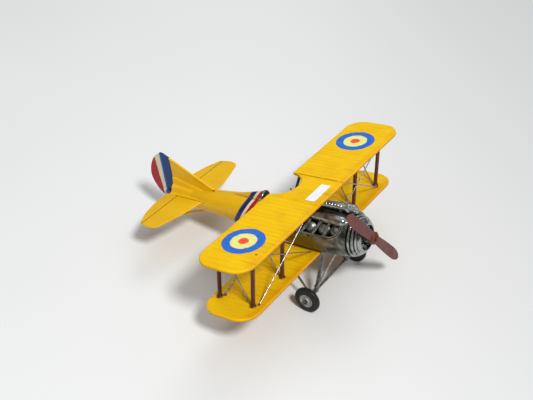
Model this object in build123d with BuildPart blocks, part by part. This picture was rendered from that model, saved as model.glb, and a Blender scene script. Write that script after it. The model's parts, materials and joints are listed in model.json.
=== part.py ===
from build123d import *
import math
import os

# A free-standing painted sheet-metal model of a two-bay biplane scout.
# It is drawn level, with +X to the nose, +Y to the left wing tip and +Z up.
# The drawing origin is the middle of the upper wing. Each finished piece is
# then turned nose-up into the stance in which the model rests on its two
# wheels and its tail skid, with the ground at Z = 0.

# ---------------------------------------------------------------- driving sizes
HALF_SPAN = 139.0          # upper wing, centre to tip
UPPER_CHORD = 55.5
LOWER_HALF_SPAN = 133.5
LOWER_CHORD = 54.0
LOWER_MID_X = -9.2         # middle of the lower chord, behind the upper one
WING_GAP = 55.8            # between the middle planes of the two wings
WING_THICK = 2.8
SHEET = 0.6                # sheet metal of the wings
SHELL = 0.8                # sheet metal of the fuselage and cowl
TIP_RADIUS = 18.0

AXIS_Z = -37.7             # fuselage and propeller axis
TAIL_X = -176.0            # rudder post
COWL_JOINT_X = 26.0        # painted fuselage meets the bare cowl
COWL_FRONT_X = 48.5
DECK_REAR_X = -4.0         # bare upper deck runs back to here
DECK_Z = -35.2             # lower edge of the bare upper deck

STRUT_RADIUS = 1.9
BAY_OUTER_Y = 110.9        # strut rows, from the centre line
BAY_INNER_Y = 65.0
STRUT_X = {"front": 7.2, "rear": -28.9}      # at the lower wing
STAGGER = 8.8              # strut top lies this far ahead of its foot
WIRE_RADIUS = 0.55

CABANE_FOOT_Y = 10.5
CABANE_TOP_Y = 20.5

PROP_X = 67.0              # middle of the blades
PROP_RADIUS = 61.6
PROP_REST = 131.0          # blade direction in the Y-Z plane, degrees
BLADE_PITCH = 3.0
BLADE_WIDTH = 11.0
BLADE_THICK = 2.0
SHAFT_RADIUS = 1.5

WHEEL_X = 16.2
WHEEL_Y = 44.5
WHEEL_Z = -90.9
TYRE_RADIUS = 12.95
TYRE_WIDTH = 5.6
RIM_RADIUS = 7.4
AXLE_RADIUS = 1.2
RUNNING_CLEARANCE = 0.05

SKID_X = -180.0            # where the tail skid meets the ground
SKID_RADIUS = 1.3
SHOE_RADIUS = 1.8

STANCE_PITCH = 9.58        # nose-up angle at rest, degrees
CENTRE_SHIFT_X = 52.852     # brings the middle of the standing model over the origin

os.makedirs("parts", exist_ok=True)

sin_pitch = math.sin(math.radians(STANCE_PITCH))
cos_pitch = math.cos(math.radians(STANCE_PITCH))
ground_drop = TYRE_RADIUS - WHEEL_X * sin_pitch - WHEEL_Z * cos_pitch
stance = Location((CENTRE_SHIFT_X, 0, ground_drop), (0, -STANCE_PITCH, 0))

upper_top_z = WING_THICK / 2
upper_bottom_z = -WING_THICK / 2
lower_top_z = -WING_GAP + WING_THICK / 2
lower_bottom_z = -WING_GAP - WING_THICK / 2
SIDES = {"left": 1, "right": -1}


def save(piece, node):
    """Stand the finished piece in its resting place, label it and write it."""
    standing = stance * piece
    standing.label = node
    export_step(standing, f"parts/{node}.step")


def rod(start, end, radius):
    """A round rod between two points, made in the part that is being built."""
    start, end = Vector(*start), Vector(*end)
    with BuildSketch(Plane(origin=start, z_dir=end - start)) as section:
        Circle(radius)
    extrude(section.sketch, amount=(end - start).length)


def lean(foot, top, radius_x, radius_y):
    """An oblique round post whose two ends lie flat in level planes."""
    with BuildSketch(Plane(origin=foot, x_dir=(1, 0, 0), z_dir=(0, 0, 1))) as low_end:
        Ellipse(radius_x, radius_y)
    with BuildSketch(Plane(origin=top, x_dir=(1, 0, 0), z_dir=(0, 0, 1))) as high_end:
        Ellipse(radius_x, radius_y)
    loft([low_end.sketch, high_end.sketch])


# ------------------------------------------------------------ fuselage envelope
def body_profile(inset):
    """Half outline of the round body, from the rudder post to the cowl front."""
    stations = [(TAIL_X, 3.0), (-165, 5.8), (-128, 10.7), (-88, 14.7),
                (-50, 18.6), (-15, 21.8), (16, 23.4), (34, 22.5), (COWL_FRONT_X, 21.0)]
    return [(x, AXIS_Z + radius - inset) for x, radius in stations]


def make_envelope(inset):
    """Solid of revolution inside the body's outer skin, less the inset."""
    with BuildPart() as envelope:
        with BuildSketch(Plane.XZ):
            with BuildLine():
                outline = body_profile(inset)
                Spline(*outline)
                Polyline(outline[-1], (COWL_FRONT_X, AXIS_Z), (TAIL_X, AXIS_Z), outline[0])
            make_face()
        revolve(axis=Axis((0, 0, AXIS_Z), (1, 0, 0)))
    return envelope.part


body_solid = make_envelope(0)
body_inside = make_envelope(SHELL)
rim_outside = make_envelope(-0.9)
coaming_outside = make_envelope(-1.4)

# -------------------------------------------------------------- fuselage shells
COCKPIT_X = -37.0
COCKPIT_LENGTH = 22.0
COCKPIT_WIDTH = 18.0
WINDOW_REAR_X = 1.0
WINDOW_FRONT_X = 42.0
WINDOW_LOW_Z = -31.6
WINDOW_HIGH_Z = -20.6
WINDOW_RIB_X = (19.3, 29.5)
window_mid_x = (WINDOW_REAR_X + WINDOW_FRONT_X) / 2
window_mid_z = (WINDOW_LOW_Z + WINDOW_HIGH_Z) / 2
window_length = WINDOW_FRONT_X - WINDOW_REAR_X
window_height = WINDOW_HIGH_Z - WINDOW_LOW_Z

# The bare metal region: everything ahead of the joint, and the deck above it.
with BuildPart() as bare_region:
    with BuildSketch(Plane.XZ.offset(-40)):
        with BuildLine():
            Polyline((COWL_FRONT_X, -70), (COWL_JOINT_X, -70), (COWL_JOINT_X, DECK_Z),
                     (DECK_REAR_X, DECK_Z), (DECK_REAR_X, 0), (COWL_FRONT_X, 0), close=True)
        make_face()
    extrude(amount=80)

with BuildPart() as cockpit_hole:
    with BuildSketch(Plane.XY.offset(AXIS_Z)):
        with Locations((COCKPIT_X, 0)):
            Ellipse(COCKPIT_LENGTH / 2, COCKPIT_WIDTH / 2)
    extrude(amount=40)

with BuildPart() as fuselage_shell:
    add(body_solid)
    add(body_inside, mode=Mode.SUBTRACT)
    add(bare_region.part, mode=Mode.SUBTRACT)
    add(cockpit_hole.part, mode=Mode.SUBTRACT)
fuselage_shell.part.label = "fuselage_shell"
save(fuselage_shell.part, "fuselage_shell")

with BuildPart() as nose_cowl:
    add(body_solid)
    add(body_inside, mode=Mode.SUBTRACT)
    add(bare_region.part, mode=Mode.INTERSECT)
    with BuildSketch(Plane.XZ):
        with Locations((window_mid_x, window_mid_z)):
            RectangleRounded(window_length, window_height, 5)
    extrude(amount=40, both=True, mode=Mode.SUBTRACT)
nose_cowl.part.label = "nose_cowl"
save(nose_cowl.part, "nose_cowl")

# Ribs across the two side windows of the cowl.
with BuildPart() as window_ribs:
    for rib_x in WINDOW_RIB_X:
        with BuildSketch(Plane.XZ):
            with Locations((rib_x, window_mid_z)):
                Rectangle(2.6, window_height)
        extrude(amount=40, both=True)
    add(body_solid, mode=Mode.INTERSECT)
    add(body_inside, mode=Mode.SUBTRACT)
window_ribs.part.label = "window_ribs"
save(window_ribs.part, "window_ribs")

# ------------------------------------------------------------ engine in the cowl
BULKHEAD_THICK = 1.5
bulkhead_x = COWL_FRONT_X - BULKHEAD_THICK
with BuildPart() as nose_bulkhead:
    with BuildSketch(Plane.YZ.offset(bulkhead_x)):
        with Locations((0, AXIS_Z)):
            Circle(20.0)
    extrude(amount=BULKHEAD_THICK)
    add(body_inside, mode=Mode.INTERSECT)
    with BuildSketch(Plane.YZ.offset(bulkhead_x)):
        with Locations((0, AXIS_Z)):
            Circle(SHAFT_RADIUS + 0.5)
    extrude(amount=BULKHEAD_THICK, mode=Mode.SUBTRACT)
nose_bulkhead.part.label = "nose_bulkhead"
save(nose_bulkhead.part, "nose_bulkhead")

BLOCK_REAR_X = -2.0
with BuildPart() as engine_block:
    with BuildSketch(Plane.YZ.offset(BLOCK_REAR_X)):
        with BuildLine():
            Polyline((-8, -50), (8, -50), (11, -36), (6, -24), (-6, -24), (-11, -36), close=True)
        make_face()
    extrude(amount=bulkhead_x - BLOCK_REAR_X)
    with BuildSketch(Plane.YZ.offset(bulkhead_x)):
        with Locations((0, AXIS_Z)):
            Circle(SHAFT_RADIUS + 0.5)
    extrude(amount=-6, mode=Mode.SUBTRACT)
engine_block.part.label = "engine_block"
save(engine_block.part, "engine_block")

CYLINDER_RADIUS = 4.6
CYLINDER_X = (9.5, 24.3, 36.6)
CYLINDER_TILT = 28.0       # above level
CYLINDER_REACH = 20.0      # from the engine's middle plane to the cylinder heads
with BuildPart() as engine_cylinders:
    for sign in SIDES.values():
        tilt = math.radians(CYLINDER_TILT)
        outward = Vector(0, sign * math.cos(tilt), math.sin(tilt))
        for cylinder_x in CYLINDER_X:
            rod((cylinder_x, 0, AXIS_Z), Vector(cylinder_x, 0, AXIS_Z) + outward * CYLINDER_REACH, CYLINDER_RADIUS)
    add(engine_block.part, mode=Mode.SUBTRACT)
engine_cylinders.part.label = "engine_cylinders"
save(engine_cylinders.part, "engine_cylinders")

# Long rounded covers along the top of each cylinder bank.
COVER_RADIUS = 4.8
COVER_Y = 11.0
COVER_Z = -19.4
COVER_REAR_X = 4.0
COVER_FRONT_X = 42.5
with BuildPart() as bank_covers:
    for sign in SIDES.values():
        rod((COVER_REAR_X, sign * COVER_Y, COVER_Z), (COVER_FRONT_X, sign * COVER_Y, COVER_Z), COVER_RADIUS)
        with Locations((COVER_REAR_X, sign * COVER_Y, COVER_Z), (COVER_FRONT_X, sign * COVER_Y, COVER_Z)):
            Sphere(COVER_RADIUS)
    add(body_solid, mode=Mode.SUBTRACT)
bank_covers.part.label = "bank_covers"
save(bank_covers.part, "bank_covers")

# Raised rims round the side windows, below the bank covers.
FRAME_WIDTH = 2.2
with BuildPart() as window_frames:
    with BuildSketch(Plane.XZ):
        with Locations((window_mid_x, window_mid_z)):
            RectangleRounded(window_length + 2 * FRAME_WIDTH, window_height + FRAME_WIDTH, 6)
            RectangleRounded(window_length, window_height, 5, mode=Mode.SUBTRACT)
    extrude(amount=40, both=True)
    add(rim_outside, mode=Mode.INTERSECT)
    add(body_solid, mode=Mode.SUBTRACT)
    add(bank_covers.part, mode=Mode.SUBTRACT)
window_frames.part.label = "window_frames"
save(window_frames.part, "window_frames")

# Stepped rings that close the cowl down to the front lip, a little below the axis.
RING_Z = AXIS_Z - 1.0
RING_BORE = 11.8
rings = [("cowl_ring_rear", COWL_FRONT_X, 3.2, 20.2), ("cowl_ring_middle", COWL_FRONT_X + 3.2, 3.2, 19.1),
         ("cowl_ring_front", COWL_FRONT_X + 6.4, 2.9, 17.3), ("nose_lip", COWL_FRONT_X + 9.3, 2.7, 15.4)]
for node, rear_x, length, outer in rings:
    with BuildPart() as cowl_ring:
        with BuildSketch(Plane.YZ.offset(rear_x)):
            with Locations((0, RING_Z)):
                Circle(outer)
                Circle(RING_BORE, mode=Mode.SUBTRACT)
        extrude(amount=length)
        fillet(cowl_ring.edges().filter_by(GeomType.CIRCLE).sort_by(SortBy.RADIUS)[-2:], 1.2)
    cowl_ring.part.label = node
    save(cowl_ring.part, node)

CRANKCASE_RADIUS = 10.4
CRANKCASE_LENGTH = 10.4
CRANKCASE_NOSE_RADIUS = 6.4
CRANKCASE_NOSE_LENGTH = 5.2
with BuildPart() as crankcase:
    with BuildSketch(Plane.YZ.offset(COWL_FRONT_X)):
        with Locations((0, AXIS_Z)):
            Circle(CRANKCASE_RADIUS)
    extrude(amount=CRANKCASE_LENGTH)
    with BuildSketch(Plane.YZ.offset(COWL_FRONT_X + CRANKCASE_LENGTH)):
        with Locations((0, AXIS_Z)):
            Circle(CRANKCASE_NOSE_RADIUS)
    extrude(amount=CRANKCASE_NOSE_LENGTH)
    with BuildSketch(Plane.YZ.offset(COWL_FRONT_X)):
        with Locations((0, AXIS_Z)):
            Circle(SHAFT_RADIUS + RUNNING_CLEARANCE)
    extrude(amount=CRANKCASE_LENGTH + CRANKCASE_NOSE_LENGTH, mode=Mode.SUBTRACT)
crankcase.part.label = "crankcase"
save(crankcase.part, "crankcase")

# ------------------------------------------------------------------------- gun
GUN_Z = -11.6
GUN_REAR_X = -6.0
with BuildPart() as gun_jacket:
    for saddle_x in (2.0, 36.0):
        with BuildSketch(Plane.XY.offset(GUN_Z)):
            with Locations((saddle_x, 0)):
                Rectangle(3, 5)
        extrude(amount=-12)
    rod((GUN_REAR_X, 0, GUN_Z), (42, 0, GUN_Z), 3.3)
    rod((42, 0, GUN_Z), (45, 0, GUN_Z), 4.2)
    add(body_solid, mode=Mode.SUBTRACT)
gun_jacket.part.label = "gun_jacket"
save(gun_jacket.part, "gun_jacket")

with BuildPart() as gun_barrel:
    rod((45, 0, GUN_Z), (50.5, 0, GUN_Z), 2.2)
    rod((50.5, 0, GUN_Z), (53, 0, GUN_Z), 3.0)
    with BuildSketch(Plane.YZ.offset(53)):
        with Locations((0, GUN_Z)):
            Circle(1.0)
    extrude(amount=-4, mode=Mode.SUBTRACT)
gun_barrel.part.label = "gun_barrel"
save(gun_barrel.part, "gun_barrel")

# --------------------------------------------------------------------- cockpit
TUB_LENGTH = 27.0
TUB_WIDTH = 26.0
TUB_TOP_Z = -16.0
TUB_FLOOR_Z = -46.0
with BuildPart() as cockpit_tub:
    with BuildSketch(Plane.XY.offset(TUB_FLOOR_Z)):
        with Locations((COCKPIT_X, 0)):
            Rectangle(TUB_LENGTH, TUB_WIDTH)
    extrude(amount=TUB_TOP_Z - TUB_FLOOR_Z)
    add(body_inside, mode=Mode.INTERSECT)
    with BuildSketch(Plane.XY.offset(TUB_FLOOR_Z + SHELL)):
        with Locations((COCKPIT_X, 0)):
            Rectangle(TUB_LENGTH - 2 * SHELL, TUB_WIDTH - 2 * SHELL)
    extrude(amount=TUB_TOP_Z - TUB_FLOOR_Z, mode=Mode.SUBTRACT)
cockpit_tub.part.label = "cockpit_tub"
save(cockpit_tub.part, "cockpit_tub")

SEAT_WIDTH = 13.0
seat_rear_x = COCKPIT_X - TUB_LENGTH / 2 + SHELL
with BuildPart() as seat:
    with BuildSketch(Plane.XY.offset(TUB_FLOOR_Z + SHELL)):
        with Locations((seat_rear_x + 7, 0)):
            RectangleRounded(14, SEAT_WIDTH, 3)
    extrude(amount=7)
    with BuildSketch(Plane.YZ.offset(seat_rear_x)):
        with BuildLine():
            Polyline((-SEAT_WIDTH / 2, -38.4), (-SEAT_WIDTH / 2, -27))
            ThreePointArc((-SEAT_WIDTH / 2, -27), (0, -20.5), (SEAT_WIDTH / 2, -27))
            Polyline((SEAT_WIDTH / 2, -27), (SEAT_WIDTH / 2, -38.4), (-SEAT_WIDTH / 2, -38.4))
        make_face()
    extrude(amount=3)
seat.part.label = "seat"
save(seat.part, "seat")

COAMING_WIDTH = 2.2
with BuildPart() as cockpit_coaming:
    with BuildSketch(Plane.XY.offset(AXIS_Z)):
        with Locations((COCKPIT_X, 0)):
            Ellipse(COCKPIT_LENGTH / 2 + COAMING_WIDTH, COCKPIT_WIDTH / 2 + COAMING_WIDTH)
            Ellipse(COCKPIT_LENGTH / 2, COCKPIT_WIDTH / 2, mode=Mode.SUBTRACT)
    extrude(amount=40)
    add(coaming_outside, mode=Mode.INTERSECT)
    add(body_solid, mode=Mode.SUBTRACT)
cockpit_coaming.part.label = "cockpit_coaming"
save(cockpit_coaming.part, "cockpit_coaming")

HEADREST_FRONT_X = COCKPIT_X - COCKPIT_LENGTH / 2 - COAMING_WIDTH
HEADREST_TIP_X = -87.0
with BuildPart() as headrest_fairing:
    with BuildSketch(Plane.YZ.offset(HEADREST_TIP_X)):
        with Locations((0, -22.6)):
            Circle(0.5)
    with BuildSketch(Plane.YZ.offset(HEADREST_FRONT_X)):
        with Locations((0, -19.4)):
            Circle(6.4)
    loft()
    add(body_solid, mode=Mode.SUBTRACT)
headrest_fairing.part.label = "headrest_fairing"
save(headrest_fairing.part, "headrest_fairing")

with BuildPart() as headrest_pad:
    with BuildSketch(Plane.YZ.offset(HEADREST_FRONT_X)):
        with Locations((0, -18.6)):
            Circle(6.4)
        with Locations((0, AXIS_Z)):
            Circle(20.4, mode=Mode.SUBTRACT)
    extrude(amount=2)
    fillet(headrest_pad.edges().group_by(Axis.X)[-1], 0.8)
headrest_pad.part.label = "headrest_pad"
save(headrest_pad.part, "headrest_pad")

WINDSCREEN_X = COCKPIT_X + COCKPIT_LENGTH / 2 + COAMING_WIDTH
with BuildPart() as windscreen:
    with BuildSketch(Plane.XY.offset(AXIS_Z)):
        with BuildLine():
            ThreePointArc((WINDSCREEN_X, -8), (WINDSCREEN_X + 4, 0), (WINDSCREEN_X, 8))
            offset(amount=0.5)
        make_face()
    extrude(amount=-8.4 - AXIS_Z)
    add(coaming_outside, mode=Mode.SUBTRACT)
windscreen.part.label = "windscreen"
save(windscreen.part, "windscreen")


# ----------------------------------------------------------------------- wings
CUTOUT_RADIUS = 21.2
CUTOUT_X = -30.8


def upper_planform(inset):
    """Upper wing outline with the rounded cut-out above the cockpit."""
    Rectangle(UPPER_CHORD - 2 * inset, 2 * (HALF_SPAN - inset))
    with Locations((CUTOUT_X, 0)):
        Circle(CUTOUT_RADIUS + inset, mode=Mode.SUBTRACT)


def round_tips(sketch, inset, half_span):
    """Round the corners of the wing tips in plan."""
    corners = [vertex for vertex in sketch.vertices() if abs(vertex.Y) > half_span - inset - 0.1]
    fillet(corners, TIP_RADIUS - inset)


with BuildPart() as upper_wing_top_skin:
    with BuildSketch(Plane.XY.offset(upper_bottom_z)) as upper_outline:
        upper_planform(0)
        round_tips(upper_outline, 0, HALF_SPAN)
    extrude(amount=WING_THICK)
    fillet(upper_wing_top_skin.faces().sort_by(Axis.Z)[-1].edges(), 1.0)
    with BuildSketch(Plane.XY.offset(upper_bottom_z)) as upper_pocket:
        upper_planform(1.1)
        round_tips(upper_pocket, 1.1, HALF_SPAN)
    extrude(amount=WING_THICK - SHEET, mode=Mode.SUBTRACT)
upper_wing_top_skin.part.label = "upper_wing_top_skin"
save(upper_wing_top_skin.part, "upper_wing_top_skin")

with BuildPart() as upper_wing_bottom_skin:
    with BuildSketch(Plane.XY.offset(upper_bottom_z)) as upper_floor:
        upper_planform(1.1)
        round_tips(upper_floor, 1.1, HALF_SPAN)
    extrude(amount=SHEET)
upper_wing_bottom_skin.part.label = "upper_wing_bottom_skin"
save(upper_wing_bottom_skin.part, "upper_wing_bottom_skin")


def lower_planform(sign, inset):
    """Plan outline of one lower wing panel, from the centre line out to the tip."""
    with BuildSketch(Plane.XY.offset(lower_bottom_z)) as panel:
        with Locations((LOWER_MID_X, sign * LOWER_HALF_SPAN / 2)):
            Rectangle(LOWER_CHORD - 2 * inset, LOWER_HALF_SPAN - 2 * inset)
        round_tips(panel, inset, LOWER_HALF_SPAN)
    return panel.sketch


for side, sign in SIDES.items():
    with BuildPart() as lower_skin:
        extrude(lower_planform(sign, 0), amount=WING_THICK)
        fillet(lower_skin.faces().sort_by(Axis.Z)[-1].edges(), 1.0)
        extrude(lower_planform(sign, 1.1), amount=WING_THICK - SHEET, mode=Mode.SUBTRACT)
        add(body_solid, mode=Mode.SUBTRACT)
    lower_skin.part.label = f"lower_wing_{side}_top_skin"
    save(lower_skin.part, f"lower_wing_{side}_top_skin")
    with BuildPart() as lower_floor:
        extrude(lower_planform(sign, 1.1), amount=SHEET)
        add(body_solid, mode=Mode.SUBTRACT)
    lower_floor.part.label = f"lower_wing_{side}_bottom_skin"
    save(lower_floor.part, f"lower_wing_{side}_bottom_skin")

# ---------------------------------------------------------------------- struts
for side, sign in SIDES.items():
    for bay, bay_y in (("outer", BAY_OUTER_Y), ("inner", BAY_INNER_Y)):
        for row, foot_x in STRUT_X.items():
            with BuildPart() as strut:
                lean((foot_x, sign * bay_y, lower_top_z), (foot_x + STAGGER, sign * bay_y, upper_bottom_z),
                     STRUT_RADIUS, STRUT_RADIUS)
            strut.part.label = f"strut_{bay}_{row}_{side}"
            save(strut.part, f"strut_{bay}_{row}_{side}")

CABANE_X = [(8.0, 15.0), (-26.0, -20.5)]      # foot and top of each pair
with BuildPart() as cabane_struts:
    for foot_x, top_x in CABANE_X:
        for sign in SIDES.values():
            lean((foot_x, sign * CABANE_FOOT_Y, -26), (top_x, sign * CABANE_TOP_Y, upper_bottom_z), 1.5, 1.3)
    add(body_solid, mode=Mode.SUBTRACT)
    add(bank_covers.part, mode=Mode.SUBTRACT)
cabane_struts.part.label = "cabane_struts"
save(cabane_struts.part, "cabane_struts")

# Round heads on top of the upper wing, where the struts are fastened.
with BuildPart() as strut_rivets:
    with BuildSketch(Plane.XY.offset(upper_top_z)):
        for bay_y in (BAY_OUTER_Y, BAY_INNER_Y):
            for foot_x in STRUT_X.values():
                with Locations((foot_x + STAGGER, bay_y), (foot_x + STAGGER, -bay_y)):
                    Circle(1.3)
    extrude(amount=0.5)
strut_rivets.part.label = "strut_rivets"
save(strut_rivets.part, "strut_rivets")

# ----------------------------------------------------------------------- wires
WIRE_SINK = 0.3            # wire ends go this far into the wing skins
upper_anchor_z = upper_bottom_z + WIRE_SINK
lower_anchor_z = lower_top_z - WIRE_SINK
ROOT_ANCHOR_Y = 19.5
with BuildPart() as flying_wires:
    for sign in SIDES.values():
        for foot_x in STRUT_X.values():
            rod((foot_x + STAGGER + 2.8, sign * (BAY_OUTER_Y - 3), upper_anchor_z),
                (foot_x + 2.8, sign * ROOT_ANCHOR_Y, lower_anchor_z), WIRE_RADIUS)
flying_wires.part.label = "flying_wires"
save(flying_wires.part, "flying_wires")

with BuildPart() as landing_wires:
    for sign in SIDES.values():
        for foot_x in STRUT_X.values():
            rod((foot_x + 4.2, sign * (BAY_OUTER_Y - 3), lower_anchor_z),
                (foot_x + STAGGER + 4.2, sign * (CABANE_TOP_Y + 3), upper_anchor_z), WIRE_RADIUS)
landing_wires.part.label = "landing_wires"
save(landing_wires.part, "landing_wires")

# Crossed wires between the front and rear struts of each bay.
CROSS_CLEAR = 2.6
with BuildPart() as cross_wires:
    for bay_y in (BAY_OUTER_Y, BAY_INNER_Y):
        for sign in SIDES.values():
            rod((STRUT_X["front"] - CROSS_CLEAR, sign * (bay_y - 0.7), lower_anchor_z),
                (STRUT_X["rear"] + STAGGER + CROSS_CLEAR, sign * (bay_y - 0.7), upper_anchor_z), WIRE_RADIUS)
            rod((STRUT_X["rear"] + CROSS_CLEAR, sign * (bay_y + 0.7), lower_anchor_z),
                (STRUT_X["front"] + STAGGER - CROSS_CLEAR, sign * (bay_y + 0.7), upper_anchor_z), WIRE_RADIUS)
cross_wires.part.label = "cross_wires"
save(cross_wires.part, "cross_wires")

# ------------------------------------------------------------------------ tail
TAIL_SHEET = 1.6
TAILPLANE_Z = -33.6
FIN_SHEET = 1.4

with BuildPart() as fin:
    with BuildSketch(Plane.XZ.offset(-FIN_SHEET / 2)):
        with BuildLine():
            Polyline((-113.0, -24.5), (-173.0, 6.6))
            ThreePointArc((-173.0, 6.6), (-174.6, 7.2), (TAIL_X, 7.1))
            Polyline((TAIL_X, 7.1), (TAIL_X, AXIS_Z), (-113.0, AXIS_Z), (-113.0, -24.5))
        make_face()
    extrude(amount=FIN_SHEET)
    add(body_solid, mode=Mode.SUBTRACT)
fin.part.label = "fin"
save(fin.part, "fin")

with BuildPart() as rudder:
    with BuildSketch(Plane.XZ.offset(-FIN_SHEET / 2)):
        with BuildLine():
            Spline((TAIL_X, 7.1), (-184.2, 1.7), (-191.3, -9.5), (-193.6, -20.0),
                   (-189.2, -33.2), (-182.2, -41.2), (TAIL_X, -43.4))
            Line((TAIL_X, -43.4), (TAIL_X, 7.1))
        make_face()
    extrude(amount=FIN_SHEET)
rudder.part.label = "rudder"
save(rudder.part, "rudder")

# Creased fairing that spreads from the fin down to the tailplane roots.
with BuildPart() as tail_fairing:
    for station_x, ridge_z, shelf in ((-121.0, -27.0, 11.6), (-161.0, -21.0, 10.6)):
        with BuildSketch(Plane.YZ.offset(station_x)):
            with BuildLine():
                Polyline((-shelf, -33.6), (shelf, -33.6), (2.2, ridge_z), (-2.2, ridge_z), close=True)
            make_face()
    loft(ruled=True)
    add(body_solid, mode=Mode.SUBTRACT)
    add(fin.part, mode=Mode.SUBTRACT)
tail_fairing.part.label = "tail_fairing"
save(tail_fairing.part, "tail_fairing")

for side, sign in SIDES.items():
    with BuildPart() as tailplane:
        with BuildSketch(Plane.XY.offset(TAILPLANE_Z - TAIL_SHEET / 2)):
            with BuildLine():
                Line((-119.0, 0), (-120.6, sign * 13))
                Spline((-120.6, sign * 13), (-125.2, sign * 36), (-133.2, sign * 63.5), (-144.5, sign * 69.4),
                       (-154.5, sign * 65), (-163, sign * 50), (-166.8, sign * 30))
                Polyline((-166.8, sign * 30), (-167.2, sign * 12), (-167.2, 0), (-119.0, 0))
            make_face()
        extrude(amount=TAIL_SHEET)
        add(body_solid, mode=Mode.SUBTRACT)
        add(tail_fairing.part, mode=Mode.SUBTRACT)
        add(fin.part, mode=Mode.SUBTRACT)
    tailplane.part.label = f"tailplane_{side}"
    save(tailplane.part, f"tailplane_{side}")

# Tail skid: a rod down from the rear fuselage, with a ball foot on the ground.
ground_z = (-ground_drop - SKID_X * sin_pitch) / cos_pitch
shoe_z = ground_z + SHOE_RADIUS / cos_pitch
shoe_x = SKID_X
with BuildPart() as tail_skid:
    rod((-121.0, 0, -48.2), (shoe_x, 0, shoe_z), SKID_RADIUS)
    with Locations((shoe_x, 0, shoe_z)):
        Sphere(SHOE_RADIUS)
    add(body_solid, mode=Mode.SUBTRACT)
tail_skid.part.label = "tail_skid"
save(tail_skid.part, "tail_skid")

# ---------------------------------------------------------------- landing gear
AXLE_HALF = 48.9
with BuildPart() as axle:
    rod((WHEEL_X, -AXLE_HALF, WHEEL_Z), (WHEEL_X, AXLE_HALF, WHEEL_Z), AXLE_RADIUS)
axle.part.label = "axle"
save(axle.part, "axle")

legs = [("gear_legs_front", (19.0, 12.0, -56.0), 28.5, 1.9), ("gear_legs_middle", (32.5, 12.0, -54.0), 32.2, 1.1),
        ("gear_legs_rear", (-46.0, 10.0, -50.0), 37.4, 1.1)]
for node, top, foot_y, leg_radius in legs:
    with BuildPart() as gear_legs:
        for sign in SIDES.values():
            rod((WHEEL_X, sign * foot_y, WHEEL_Z), (top[0], sign * top[1], top[2]), leg_radius)
            with Locations((WHEEL_X, sign * foot_y, WHEEL_Z)):
                Cylinder(AXLE_RADIUS + 1.0, 2.6, rotation=(90, 0, 0))
        add(body_solid, mode=Mode.SUBTRACT)
        add(axle.part, mode=Mode.SUBTRACT)
        for sign in SIDES.values():
            with Locations((LOWER_MID_X, sign * LOWER_HALF_SPAN / 2, -WING_GAP)):
                Box(LOWER_CHORD, LOWER_HALF_SPAN, WING_THICK, mode=Mode.SUBTRACT)
    gear_legs.part.label = node
    save(gear_legs.part, node)

HUB_WIDTH = 6.4
HUB_BOSS_RADIUS = 3.4
for side, sign in SIDES.items():
    with BuildPart() as tyre:
        with BuildSketch(Plane.XY.offset(WHEEL_Z)):
            with Locations((WHEEL_X + (TYRE_RADIUS + RIM_RADIUS) / 2, sign * WHEEL_Y)):
                RectangleRounded(TYRE_RADIUS - RIM_RADIUS, TYRE_WIDTH, 2.2)
        revolve(axis=Axis((WHEEL_X, 0, WHEEL_Z), (0, 1, 0)))
    tyre.part.label = f"tyre_{side}"
    save(tyre.part, f"tyre_{side}")
    with BuildPart() as wheel_hub:
        with Locations((WHEEL_X, sign * WHEEL_Y, WHEEL_Z)):
            Cylinder(RIM_RADIUS, 2.4, rotation=(90, 0, 0))
            Cylinder(HUB_BOSS_RADIUS, HUB_WIDTH, rotation=(90, 0, 0))
            Cylinder(AXLE_RADIUS + RUNNING_CLEARANCE, HUB_WIDTH + 1, rotation=(90, 0, 0), mode=Mode.SUBTRACT)
    wheel_hub.part.label = f"wheel_hub_{side}"
    save(wheel_hub.part, f"wheel_hub_{side}")

# Round nuts that keep the wheels on the axle.
with BuildPart() as axle_nuts:
    for sign in SIDES.values():
        with Locations((WHEEL_X, sign * (AXLE_HALF - 0.4), WHEEL_Z)):
            Cylinder(2.2, 1.2, rotation=(90, 0, 0))
    add(axle.part, mode=Mode.SUBTRACT)
axle_nuts.part.label = "axle_nuts"
save(axle_nuts.part, "axle_nuts")

# ------------------------------------------------------------------- propeller
BOSS_RADIUS = 6.2
BOSS_REAR_X = 64.8
BOSS_LENGTH = 4.2
with BuildPart() as propeller_boss:
    with BuildSketch(Plane.YZ.offset(BOSS_REAR_X)):
        with Locations((0, AXIS_Z)):
            RegularPolygon(BOSS_RADIUS, 8)
            Circle(SHAFT_RADIUS, mode=Mode.SUBTRACT)
    extrude(amount=BOSS_LENGTH)
    chamfer(propeller_boss.faces().sort_by(Axis.X)[-1].outer_wire().edges(), 0.9)
propeller_boss.part.label = "propeller_boss"
save(propeller_boss.part, "propeller_boss")

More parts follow.
